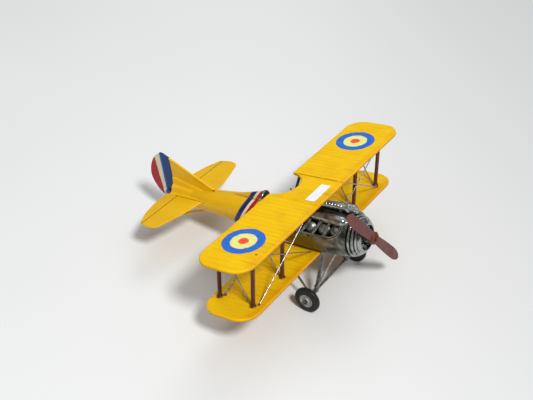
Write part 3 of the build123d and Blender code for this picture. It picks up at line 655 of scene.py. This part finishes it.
cutout_edge = sqrt(CUTOUT_RADIUS**2 - (CUTOUT_X + UPPER_CHORD / 2)**2)
seam_lines = [side * place for side in (-1, 1) for place in (SEAM_Y - 1.5, SEAM_Y + 0.6)]
centre_slices = {side * cutout_edge * sin(pi / 2 * t) for side in (-1, 1) for t in parts(26)}
centre_slices |= {side * (cutout_edge + 0.12) for side in (-1, 1)}
centre_slices |= {seam + step for seam in seam_lines for step in (-0.6, -0.3, 0, 0.3, 0.6)}
upper_ribs = [(side * y, height) for side in (-1, 1)
              for y, height in rib_places(SEAM_Y + 4.5, HALF_SPAN - 2, UPPER_RIB_HEIGHT)]
upper_ribs += [(side * (SEAM_Y - 0.4), 0.5) for side in (-1, 1)]
upper_sheet = plate(slices(upper_ribs, -HALF_SPAN, HALF_SPAN, centre_slices), upper_limits,
                    rib_relief(upper_ribs, seam_lines), lambda y, x, h: (x, y, h),
                    WING_HALF_THICK, *WING_RIMS)
add_piece("upper_wing", [upper_sheet], upper_wing_finish,
          stands_for=("upper_wing_top_skin", "upper_wing_bottom_skin"))

LOWER_ROOT_Y = 13.0


def lower_limits(y):
    inset = tip_inset(y, LOWER_HALF_SPAN)
    return LOWER_MID_X - LOWER_CHORD / 2 + inset, LOWER_MID_X + LOWER_CHORD / 2 - inset


for side, sign in SIDES:
    lower_ribs = [(sign * y, height) for y, height in
                  rib_places(LOWER_ROOT_Y + 11, LOWER_HALF_SPAN - 2, LOWER_RIB_HEIGHT)]
    ends = sorted((sign * LOWER_ROOT_Y, sign * LOWER_HALF_SPAN))
    lower_sheet = plate(slices(lower_ribs, *ends), lower_limits, rib_relief(lower_ribs),
                        lambda y, x, h: (x, y, h + LOWER_Z), WING_HALF_THICK, *WING_RIMS)
    add_piece(f"lower_wing_{side}", [lower_sheet], lower_wing_finish,
              stands_for=(f"lower_wing_{side}_top_skin", f"lower_wing_{side}_bottom_skin"))

# Strut pin heads on the upper wing, soldered collars at both ends, wire eyes outside.
heads, collars, eyes = [], [], []
flare = [(0, 3.0), (0.4, 2.7), (1.0, 2.15), (2.0, 1.93)]
for sign in (-1, 1):
    for strut_y in STRUT_Y:
        for foot_x in STRUT_X:
            foot = Vector((foot_x, sign * strut_y, LOWER_Z + WING_HALF_THICK))
            top = Vector((foot_x + STAGGER, sign * strut_y, -WING_HALF_THICK))
            heads.append(dome(top + Vector((0, 0, 2 * WING_HALF_THICK)), (0, 0, 1), 1.0, 0.35))
            collars += [lathe(flare, foot, (0, 0, 1), 24), lathe(flare, top, (0, 0, -1), 24)]
            if strut_y == STRUT_Y[0]:
                eyes.append(lathe([(0, 1.1), (0.4, 1.05), (0.9, 0.8), (1.5, 0.6)],
                                  foot + Vector((4.2, -sign * 3.0, 0)), (0, -sign * 0.6, 1), 14))
add_piece("strut_pin_heads", heads, yellow_finish, stands_for=("strut_rivets",))
worn_head = dome((19.6, -110.0, WING_HALF_THICK), (0, 0, 1), 1.05, 0.4)
add_piece("worn_pin_head", [worn_head], rivet_finish)
add_piece("strut_collars", collars, strut_brown)
add_piece("wire_eyes", eyes, rivet_finish)

# ---- cowl sides and engine
WINDOW_LOW_Z = -31.6
WINDOW_HIGH_Z = -20.6


def window_bead(side, rear_x, bend_x, sweep, drop, radius, proud):
    """Raised line under the side windows, sweeping up round their front end."""
    path = [on_body(x, WINDOW_HIGH_Z - drop, side, proud) for x in np.linspace(rear_x, bend_x, 14)]
    for t in parts(20)[1:]:
        path.append(on_body(bend_x + sweep * sin(pi / 2 * t),
                            WINDOW_HIGH_Z - drop * cos(pi / 2 * t), side, proud))
    return tube(path, radius)


beads = []
for side in (-1, 1):
    beads += [window_bead(side, -2.0, 31.5, 11.3, 11.1, 0.62, 0.15),
              window_bead(side, 22.0, 27.0, 17.6, 14.3, 0.5, 0.0)]
add_piece("window_beads", beads, bright_pewter, stands_for=("window_frames",))

# Slanted bars across the windows: rounded straps of four lines, bowed with the body.
WINDOW_BARS = ((4.5, 11.0), (16.2, 22.4), (27.6, 31.6))       # x of their lower and upper ends
BAR_LINES = ((-0.75, 0.62), (-0.25, 0.75), (0.25, 0.75), (0.75, 0.62))     # shift and radius
bars = []
for side in (-1, 1):
    for low_x, high_x in WINDOW_BARS:
        for shift, radius in BAR_LINES:
            path = [on_body(low_x + (high_x - low_x) * t + shift,
                            WINDOW_LOW_Z + (WINDOW_HIGH_Z - WINDOW_LOW_Z) * t, side, -0.35)
                    for t in np.linspace(0, 1, 11)]
            bars.append(tube(path, radius))
add_piece("window_bars", bars, pewter, stands_for=("window_ribs",))

# Finned cylinders with round heads that look out of the windows, three to a side.
CYLINDER_X = (9.5, 24.3, 36.6)
CYLINDER_LEAN = radians(28)
cylinder = [(6.0, 0.0), (6.0, 3.9)]
for fin in range(5):
    cylinder += ridge(7.0 + fin * 1.6, 3.9, 4.6, 0.1, 0.8)
cylinder += [(15.2, 5.7), (17.2, 5.8), (17.6, 5.4), (17.8, 5.4), (18.3, 5.1), (19.1, 4.2),
             (19.8, 2.8), (20.2, 1.4), (20.3, 0.0)]
barrels = [lathe(cylinder, (x, 0, AXIS_Z),
                 (0, side * cos(CYLINDER_LEAN), sin(CYLINDER_LEAN)), 32)
           for side in (-1, 1) for x in CYLINDER_X]
add_piece("finned_cylinders", barrels, cylinder_metal, stands_for=("engine_cylinders",))

# Covers over the cylinder banks: they swell forward to a rounded front end.
COVER_RADIUS = 4.8
COVER_PLACE = (11.0, -19.4)       # y and z of the covers' centre line
COVER_ENDS = (2.0, 47.2)
COVER_SWELL_RUN = 34              # length over which a cover swells to its full radius
COVER_TAIL = 0.42                 # part of the radius at the rear end
COVER_FRONT_RUN = 6.5             # length of the rounded front end
covers = []
for side in (-1, 1):
    path, radii = [], []
    for t in (1 - (1 - part)**1.7 for part in parts(48)):
        x = COVER_ENDS[0] + (COVER_ENDS[1] - COVER_ENDS[0]) * t
        swell = sin(pi / 2 * min((x - COVER_ENDS[0]) / COVER_SWELL_RUN, 1))
        closing = max(1 - (COVER_ENDS[1] - x) / COVER_FRONT_RUN, 0)
        full = COVER_RADIUS * (COVER_TAIL + (1 - COVER_TAIL) * swell)
        full *= sqrt(max(1 - closing**2.2, 0.0009))
        sink = (COVER_RADIUS - full) * 0.35
        path.append((x, side * (COVER_PLACE[0] + sink * 0.4), COVER_PLACE[1] + sink * 0.6))
        radii.append(full)
    covers.append(tube(path, radii, 32))
add_piece("cylinder_bank_covers", covers, bright_pewter, stands_for=("bank_covers",))

# Rivets along the seam of the bare cowl and along the edge of the upper deck.
rivets = [(27.4, z, 0.5, 0.3) for z in np.linspace(-36.5, -55, 9)]
rivets += [(x, -36.9, 0.45, 0.28) for x in np.linspace(-1, 44, 11)]
studs = []
for side in (-1, 1):
    for x, z, radius, height in rivets:
        point = on_body(x, z, side)
        studs.append(dome(point, (0, point.y, z - AXIS_Z), radius, height, 10))
add_piece("cowl_rivets", studs, steel)

# Stepped rings of the nose: each has a rubbed crest and a deep groove behind it.
RING_BORE = 11.8
RING_Z = AXIS_Z - 1.0
RING_LENGTH = 3.2
for name, rear_x, outer in (("cowl_ring_rear", 48.5, 20.0), ("cowl_ring_middle", 51.7, 18.7)):
    profile = [(0, RING_BORE), (0, outer - 1.5), (0.4, outer - 1.6), (0.6, outer - 1.2)]
    for t in parts(10):
        profile.append((0.7 + (RING_LENGTH - 0.9) / 2 * (1 - cos(pi * t)),
                        outer - 0.9 + 0.9 * sin(pi * t)))
    profile += [(RING_LENGTH, outer - 1.4), (RING_LENGTH, RING_BORE), (0, RING_BORE)]
    add_piece(f"{name}_turned", [lathe(profile, (rear_x, 0, RING_Z), (1, 0, 0), 96)],
              bright_pewter, stands_for=(name,))

# The last two steps run together into one broad, smooth lip.
front_step = [(0, RING_BORE), (0, 15.7), (0.4, 15.6), (0.7, 16.6), (1.2, 17.0), (1.8, 16.9),
              (2.3, 16.2), (2.6, 14.9), (2.9, 14.8), (2.9, RING_BORE), (0, RING_BORE)]
lip = [(0, RING_BORE), (0, 14.8), (0.2, 15.2), (0.6, 15.3), (1.3, 14.7), (2.0, 13.7), (2.4, 12.8),
       (2.5, RING_BORE), (0, RING_BORE)]
for name, rear_x, profile in (("cowl_ring_front", 54.9, front_step), ("nose_lip", 57.8, lip)):
    add_piece(f"{name}_turned", [lathe(profile, (rear_x, 0, RING_Z), (1, 0, 0), 96)],
              bright_pewter, stands_for=(name,))

# Crankcase in the nose opening: finned cylinders round a hub, a sleeve before each.
CRANKCASE_X = 48.5
works = [lathe([(0, 0.0), (0, 10.0), (3.0, 10.0), (3.6, 6.6), (9.0, 6.2), (10.4, 5.4), (12.2, 5.2),
                (12.6, 3.8), (15.2, 3.4), (15.6, 2.9), (15.6, 1.7)],
               (CRANKCASE_X, 0, AXIS_Z), (1, 0, 0), 64)]
short_cylinder = [(5.4, 0.0), (5.4, 1.7)]
for fin in range(5):
    short_cylinder += ridge(6.4 + fin * 0.9, 1.7, 2.3, 0.1, 0.55)
short_cylinder += [(11.2, 1.7), (11.3, 0.0)]
sleeve = [(0, 0.8), (0, 1.75), (2.0, 1.75), (2.3, 1.5), (2.3, 1.15), (2.0, 0.85), (0, 0.8)]
sleeves = []
for turn in turns(9, 0.25):
    works.append(lathe(short_cylinder, (CRANKCASE_X + 6.4, 0, RING_Z), radial(turn), 18))
    centre = Vector((CRANKCASE_X + 8.4, 0, RING_Z)) + radial(turn, 8.9)
    sleeves.append(lathe(sleeve, centre, (1, 0, 0), 20))
add_piece("crankcase_and_cylinders", works, dark_pewter, stands_for=("crankcase",))
add_piece("crankcase_sleeves", sleeves, bright_pewter)

# ---- gun
GUN_Z = -11.6
jacket = [(-6, 0.0), (-6, 2.6), (-5.4, 3.3), (2, 3.3)]
for groove_x in np.arange(3.0, 40.0, 3.1):
    jacket += ridge(groove_x, 3.3, 3.1, 0.25, 1.0)
jacket += [(42, 3.3), (42, 4.0), (42.4, 4.2), (44.6, 4.2), (45, 4.0), (45, 0.0)]
gun = [lathe(jacket, (0, 0, GUN_Z), (1, 0, 0), 40)]
for saddle_x in (2.0, 36.0):
    gun.append(block((saddle_x, 0, GUN_Z - 3.2), (1.5, 2.5, 3.0)))
    gun.append(lathe([(-1.1, 3.3), (-0.8, 3.75), (0.8, 3.75), (1.1, 3.3)], (saddle_x, 0, GUN_Z),
                     (1, 0, 0), 36))
add_piece("gun_jacket_ribbed", gun, polished_pewter, stands_for=("gun_jacket",))
muzzle = [(45, 2.2), (50.3, 2.2), (50.5, 3.0), (51.2, 3.1), (52.6, 3.0), (53, 2.6), (53, 1.0),
          (49.2, 1.0), (49.2, 0.0)]
add_piece("gun_muzzle", [lathe(muzzle, (0, 0, GUN_Z), (1, 0, 0), 36)], polished_pewter,
          stands_for=("gun_barrel",))

# ---- cockpit
COCKPIT_X = -37.0
COCKPIT_HALF = (11.0, 9.0)         # along and across
rim_path = []
for turn in turns(72):
    x = COCKPIT_X + (COCKPIT_HALF[0] + 1.0) * cos(turn)
    y = (COCKPIT_HALF[1] + 1.0) * sin(turn)
    rim_path.append((x, y, AXIS_Z + sqrt(body_radius(x)**2 - y**2) + 0.35))
add_piece("cockpit_rim", [tube(rim_path, 1.05, 12, closed=True)], pewter,
          stands_for=("cockpit_coaming",))

# Instrument board and stick inside the tub, ahead of the seat.
board = [block((COCKPIT_X + 11.6, 0, -22.5), (0.4, 9.5, 4.5))]
for y in (-5.4, 0, 5.4):
    board.append(lathe([(0, 2.0), (0.5, 2.0), (0.5, 1.6), (0.2, 1.5), (0.2, 0)],
                       (COCKPIT_X + 11.2, y, -22.2), (-1, 0, 0), 24))
add_piece("instrument_board", board, dark_pewter)
stick = tube([(-31 - 2.5 * t + 3.2 * t * (1 - t), 0, -45 + 17 * t) for t in parts(12)], 0.6)
knob = lathe([(-1.2, 0), (-0.9, 0.9), (0, 1.2), (0.9, 0.9), (1.2, 0)], (-33.6, 0, -27.6),
             (0, 0, 1), 16)
add_piece("control_stick", [stick, knob], dark_pewter)

# Half-round hood round the head pad.
HOOD_CENTRE = Vector((-48.9, 0, -18.9))
hood = [HOOD_CENTRE + radial(turn, 6.1) for turn in np.radians(np.linspace(-20, 200, 34))]
add_piece("headrest_hood", [tube(hood, 0.85, 12)], pewter)

# Line pressed into the body round the foot of the headrest fairing.
HEADREST_TIP_X, HEADREST_FRONT_X = -87.0, -50.2
seam = []
for t in (0.06 + 0.94 * part for part in parts(39)):
    x = HEADREST_TIP_X + (HEADREST_FRONT_X - HEADREST_TIP_X) * t
    small, centre, radius = 0.5 + 5.9 * t, -22.6 + 3.2 * t, body_radius(x)
    gap = centre - AXIS_Z
    rise = (gap**2 + radius**2 - small**2) / (2 * gap)
    if radius > abs(rise):
        seam.append((x, sqrt(radius**2 - rise**2), AXIS_Z + rise))
outline = [(x, -y, z) for x, y, z in reversed(seam)] + seam
add_piece("headrest_seam", [tube(outline, 0.28, 8)], line_finish)

# ---- tail
# Half span and station of points on each tailplane's front and rear edges. The sheet follows them
# as far as TAILPLANE_ROUND_Y and closes to a round end past it.
TAILPLANE_FRONT = [(10, -119.0), (13, -120.6), (36, -125.2), (52, -129.6), (63.5, -133.8),
                   (67.8, -138.4)]
TAILPLANE_REAR = [(10, -167.2), (12, -167.2), (30, -166.6), (50, -162.9), (60, -158.4),
                  (66.4, -153.0)]
TAILPLANE_TIP = 69.4
TAILPLANE_ROUND_Y = 60             # the tip is rounded from here outward
TAILPLANE_MIDDLE = -144.5
TAILPLANE_Z = -33.6
tail_slices = sorted({*np.linspace(10, TAILPLANE_ROUND_Y, 40),
                      *(TAILPLANE_TIP - 9.4 * (1 - sin(pi / 2 * t)) for t in parts(24))})


def smooth_through(points, at):
    """Monotone cubic through (key, value) pairs."""
    keys, values = zip(*points)
    slopes = [(values[i + 1] - values[i]) / (keys[i + 1] - keys[i]) for i in range(len(keys) - 1)]
    inner = [0.0 if a * b <= 0 else 2 * a * b / (a + b) for a, b in zip(slopes, slopes[1:])]
    tangents = [slopes[0], *inner, slopes[-1]]
    k = next((i for i in range(len(keys) - 2) if at < keys[i + 1]), len(keys) - 2)
    span = keys[k + 1] - keys[k]
    return hermite((at - keys[k]) / span, span, (values[k], tangents[k]),
                   (values[k + 1], tangents[k + 1]))


def tailplane_limits(y):
    """Rear and front edge, closing to a round end at the tip."""
    over = max((min(y, TAILPLANE_TIP - 0.02) - TAILPLANE_ROUND_Y)
               / (TAILPLANE_TIP - TAILPLANE_ROUND_Y), 0)
    limits = [smooth_through(edge, min(y, TAILPLANE_ROUND_Y))
              for edge in (TAILPLANE_REAR, TAILPLANE_FRONT)]
    return [TAILPLANE_MIDDLE + (limit - TAILPLANE_MIDDLE) * sqrt(1 - over**2.4)
            for limit in limits]


def tailplane_relief(y, x):
    groove = -0.4 * exp(-((x - HINGE_X) / 0.4)**2) if y > 11 else 0
    ribs = 0.10 * cos(y / 5.2 * 2 * pi)**6 if x < HINGE_X - 2 else 0
    return groove + ribs


for side, sign in SIDES:
    sheet = plate(tail_slices, tailplane_limits, tailplane_relief,
                  lambda y, x, h: (x, sign * y, TAILPLANE_Z + h), 0.8, 0.7, 0.4, across=64)
    add_piece(f"tailplane_sheet_{side}", [sheet], tailplane_finish,
              stands_for=(f"tailplane_{side}",))

# Folded front edge of the fin, thick and round, with the pin at its foot.
FIN_FOOT, FIN_TOP = Vector((-112.4, 0, -24.6)), Vector((-172.0, 0, 6.0))
fin_edge = [FIN_FOOT.lerp(FIN_TOP, t) for t in parts(24)]
fin_edge += [Vector((-173.4, 0, 6.5)), Vector((-174.8, 0, 6.7)), Vector((-176.0, 0, 6.4))]
add_piece("fin_front_edge", [tube(fin_edge, 1.15, 16)], tail_finish)
add_piece("fin_foot_pin", [dome((-113.0, 0, -24.2), (0.55, 0, 0.85), 1.3, 0.9)], rivet_finish)
hinge_path = [(-176.0, 0, z) for z in np.linspace(6.0, -43.0, 30)]
add_piece("rudder_hinge", [tube(hinge_path, 0.95, 12)], tail_finish)

# Creased skirts that fan out from the fin to the tailplane roots.
FOLD_COUNT = 2.5
FOLD_HEIGHT = 0.85


def skirt(sign):
    """One side of the fairing, pleated like folded sheet, the pleats deeper to the rear."""
    loops = []
    for t in parts(36):
        x = -119.5 - 44.5 * t
        top_z = -27.5 + 12.5 * t
        shelf = 11.8 - 1.2 * t
        loop = []
        for s in parts(40):
            y = 0.5 + (shelf - 0.5) * s**1.5
            z = top_z + (TAILPLANE_Z + 0.5 - top_z) * (1 - (1 - s)**1.4)
            pleat = 1 - 4 * abs((s * FOLD_COUNT) % 1 - 0.5)
            fold = FOLD_HEIGHT * t * pleat * min(1, 6 * (1 - s))
            loop.append(Vector((x, sign * (y + fold * 0.6), z + fold)))
        loop += [Vector((x, sign * y, TAILPLANE_Z - 0.2)) for y in (shelf, 0.3)]
        loops.append(loop)
    return rings(loops)


add_piece("tail_skirts", [skirt(1), skirt(-1)], yellow_finish, stands_for=("tail_fairing",),
          sharp=18)
root_lines = []
for sign in (-1, 1):
    front = Vector((-120.5, sign * 12.6, TAILPLANE_Z + 0.75))
    rear = Vector((-156, sign * 11.1, TAILPLANE_Z + 0.75))
    root_lines.append(tube([front.lerp(rear, t) for t in parts(12)], 0.33, 8))
add_piece("tailplane_root_lines", root_lines, line_finish)

# ---- landing gear
# Upper end, half track at the foot and radius of each pair of legs.
GEAR_LEGS = (((19.0, 12.0, -56.0), 28.5, 1.9), ((32.5, 12.0, -54.0), 32.2, 1.1),
             ((-46.0, 10.0, -50.0), 37.4, 1.1))
brackets = []
for sign in (-1, 1):
    for (x, y, z), foot_y, radius in GEAR_LEGS:
        foot = Vector((WHEEL.x, sign * foot_y, WHEEL.z))
        leg = Vector((x, sign * y, z)) - foot
        along = leg.normalized()
        low = [(0, 0.1), (0.3, 0.8), (2.2, 0.8), (2.8, 0.1)]
        high = [(0, 0.1), (0.4, 0.9), (2.4, 1.3), (3.4, 1.4)]
        for profile, reach in ((low, 2.4), (high, leg.length - 3.6)):
            profile = [(at, radius + over) for at, over in profile]
            brackets.append(lathe(profile, foot + along * reach, along, 20))
add_piece("gear_leg_collars", brackets, steel)

TYRE_HALF_WIDTH = 2.75
TYRE_PROFILE = [(-2.65, 6.7)]
for turn in (pi * t for t in parts(24)):
    swell = cos(turn)
    wide = TYRE_HALF_WIDTH * (1 if abs(swell) < 0.99 else 0.97)
    TYRE_PROFILE.append((-wide * copysign(abs(swell)**0.7, swell), 9.0 + 3.92 * sin(turn)**0.75))
TYRE_PROFILE += [(2.65, 6.7), (-2.65, 6.7)]
HUB_PROFILE = [(-1.7, 1.3), (-3.1, 1.4), (-3.1, 2.4), (-1.6, 3.2), (-1.2, 4.6), (-1.9, 5.6),
               (-2.6, 6.2), (-2.5, 7.4), (2.5, 7.4), (2.7, 6.2), (2.5, 5.6), (1.9, 5.1), (1.7, 3.4),
               (2.2, 3.0), (3.1, 2.7), (3.2, 2.1), (2.6, 1.4), (-1.7, 1.3)]
for side, sign in SIDES:
    body = f"wheel_{side}"
    centre, outward = (WHEEL.x, sign * WHEEL.y, WHEEL.z), (0, sign, 0)
    add_piece(f"tyre_{side}_moulded", [lathe(TYRE_PROFILE, centre, outward, 72)], tyre_finish, body,
              stands_for=(f"tyre_{side}",), sharp=50)
    add_piece(f"wheel_hub_{side}_turned", [lathe(HUB_PROFILE, centre, outward, 56)], hub_grey, body,
              stands_for=(f"wheel_hub_{side}",))

# ---- propeller
BLADE_ROOT = 4.0
BLADE_WIDEST = 0.62        # part of the blade where it reaches its full width
BLADE_ROUNDING = 0.70      # part from where it narrows to the round tip
BLADE_THINNING = 0.9       # part from where its thickness drops


def blade(turn):
    """A paddle blade with a rounded section, thinner and less pitched to its tip."""
    outward = radial(turn)
    across = Vector((0, -sin(turn), cos(turn)))
    loops = []
    for part in (1 - (1 - t)**1.6 for t in parts(48)):
        width = BLADE_WIDTH / 2 * (0.76 + 0.24 * sin(min(part / BLADE_WIDEST, 1) * pi / 2))
        closing = max(part - BLADE_ROUNDING, 0) / (1 - BLADE_ROUNDING)
        width *= sqrt(max(1 - closing**2.2, 0.0004))
        thinning = max(part - BLADE_THINNING, 0) / (1 - BLADE_THINNING)
        thick = (1.15 - 0.55 * part) * (1 - 0.6 * thinning**2)
        pitch = radians(BLADE_PITCH + 4 * (0.5 - part))
        chord = across * -cos(pitch) + Vector((sin(pitch), 0, 0))
        face = outward.cross(chord)
        reach = BLADE_ROOT + (PROP_RADIUS - BLADE_ROOT) * part
        centre = Vector((PROP_X, 0, AXIS_Z)) + outward * reach
        loops.append([centre + chord * width * cos(angle)
                      + face * thick * copysign(abs(sin(angle))**0.8, sin(angle))
                      for angle in turns(24)])
    return rings(loops)


blades = [blade(radians(PROP_REST + turn)) for turn in (0, 180)]
add_piece("propeller_blades_shaped", blades, propeller_brown, "propeller",
          stands_for=("propeller_blades",), sharp=60)
boss_profile = [(64.7, 1.7), (64.7, 5.4), (65.3, 6.1), (68.1, 6.1), (68.9, 5.5), (69.4, 4.6),
                (69.4, 1.7), (64.7, 1.7)]
boss = [lathe(boss_profile, (0, 0, AXIS_Z), (1, 0, 0), 8)]
boss += [dome(Vector((69.2, 0, AXIS_Z)) + radial(turn, 4.1), (1, 0, 0), 0.5, 0.4, 8)
         for turn in turns(6, 0.5)]
add_piece("propeller_boss_faceted", boss, boss_brown, "propeller", stands_for=("propeller_boss",))

# ---- CAD nodes that stay shown
strut_names = [name for name in frame["nodes"]
               if name.startswith("strut_") and name != "strut_rivets"]
kept = {shell_finish: ["fuselage_shell", "nose_cowl"],
        pewter: ["nose_bulkhead"],
        dark_pewter: ["engine_block", "cabane_struts", "axle_nuts"],
        tail_finish: ["fin", "rudder"],
        boss_brown: ["propeller_nut", "propeller_shaft"],
        strut_brown: strut_names,
        # The middle gear legs take the bright wire metal as a painted highlight.
        wire_finish: ["flying_wires", "landing_wires", "cross_wires", "gear_legs_middle"],
        steel: ["gear_legs_front", "gear_legs_rear", "axle"],
        cockpit_finish: ["cockpit_tub", "seat", "windscreen"],
        leather_finish: ["headrest_pad"],
        label_finish: ["blank_label"],
        yellow_finish: ["tail_skid"],
        headrest_finish: ["headrest_fairing"]}
for material, names in kept.items():
    for name in names:
        mesh = frame["nodes"][name].data
        mesh.materials.clear()
        mesh.materials.append(material)

# ---- floor, light and camera
FLOOR_HALF = 4.0
floor_mesh = bpy.data.meshes.new("floor")
floor_corners = [(a * FLOOR_HALF, b * FLOOR_HALF, 0) for a, b in ((-1, -1), (1, -1), (1, 1), (-1, 1))]
floor_mesh.from_pydata(floor_corners, [], [(0, 1, 2, 3)])
in_scene("floor", floor_mesh)
floor_finish = Finish("pale_paper")
floor_finish.relief(floor_finish.times(floor_finish.noise(3, 3), 0.02), 0.3)
tone = floor_finish.mix(floor_finish.noise(260, 2), (0.713, 0.723, 0.717), (0.747, 0.756, 0.749))
# The floor is painted greyer towards the nose end of the table, a painted falloff of the light.
beyond_nose = floor_finish.scaled(floor_finish.y, 0.67, floor_finish.x)
tone = floor_finish.mix(floor_finish.ramp(beyond_nose, -150, 480), tone, (0.577, 0.584, 0.580))
floor_mesh.materials.append(floor_finish.done(tone, 0.75, specular=0.2))

LIGHT_TARGET = Vector((0, 0, 0.05))


def area_light(name, direction, distance, size, power):
    """A soft lamp in a direction from the target, facing it."""
    lamp = bpy.data.lights.new(name, "AREA")
    lamp.shape = "DISK"
    lamp.size = size
    lamp.energy = power
    holder = in_scene(name, lamp)
    away = Vector(direction).normalized()
    holder.location = LIGHT_TARGET + away * distance
    holder.rotation_euler = away.to_track_quat("Z", "Y").to_euler()


area_light("key_light", (0.72, -0.45, 1.0), 3.6, 0.62, 112)
area_light("back_light", (-0.3, 1.0, 1.3), 2.6, 1.4, 14)

# The studio is bright overhead and dim at the sides, which gives metal its contrast.
world = bpy.data.worlds.new("studio")
bpy.context.scene.world = world
world.use_nodes = True
sky = world.node_tree
way = sky.nodes.new("ShaderNodeTexCoord")
split = sky.nodes.new("ShaderNodeSeparateXYZ")
shade = sky.nodes.new("ShaderNodeValToRGB")
sky.links.new(way.outputs["Generated"], split.inputs["Vector"])
sky.links.new(split.outputs["Z"], shade.inputs["Fac"])
sky.links.new(shade.outputs["Color"], sky.nodes["Background"].inputs["Color"])
stops = shade.color_ramp.elements
stops.new(0.35)
stops.new(0.7)
for stop, grey in zip(stops, (0.10, 0.16, 0.42, 0.62)):
    stop.color = (grey, grey, grey * 1.02, 1)
sky.nodes["Background"].inputs["Strength"].default_value = 1.0
bpy.context.scene.view_settings.view_transform = "Standard"

# The camera stays level; its place is measured from the origin of the level drawing.
CAMERA_AZIMUTH = 33.7
CAMERA_ELEVATION = 35.42
CAMERA_OFFSET = Vector((-36.56, -10.15, 840.67)) * MM      # in the camera's own axes
lens = bpy.data.cameras.new("camera")
lens.sensor_width = 36
lens.lens = 61.83
lens.clip_start = 0.01
camera = in_scene("camera", lens)
heading = Euler((radians(90 - CAMERA_ELEVATION), 0, radians(CAMERA_AZIMUTH)))
camera.rotation_euler = heading
camera.location = level_origin + heading.to_matrix() @ CAMERA_OFFSET
bpy.context.scene.camera = camera
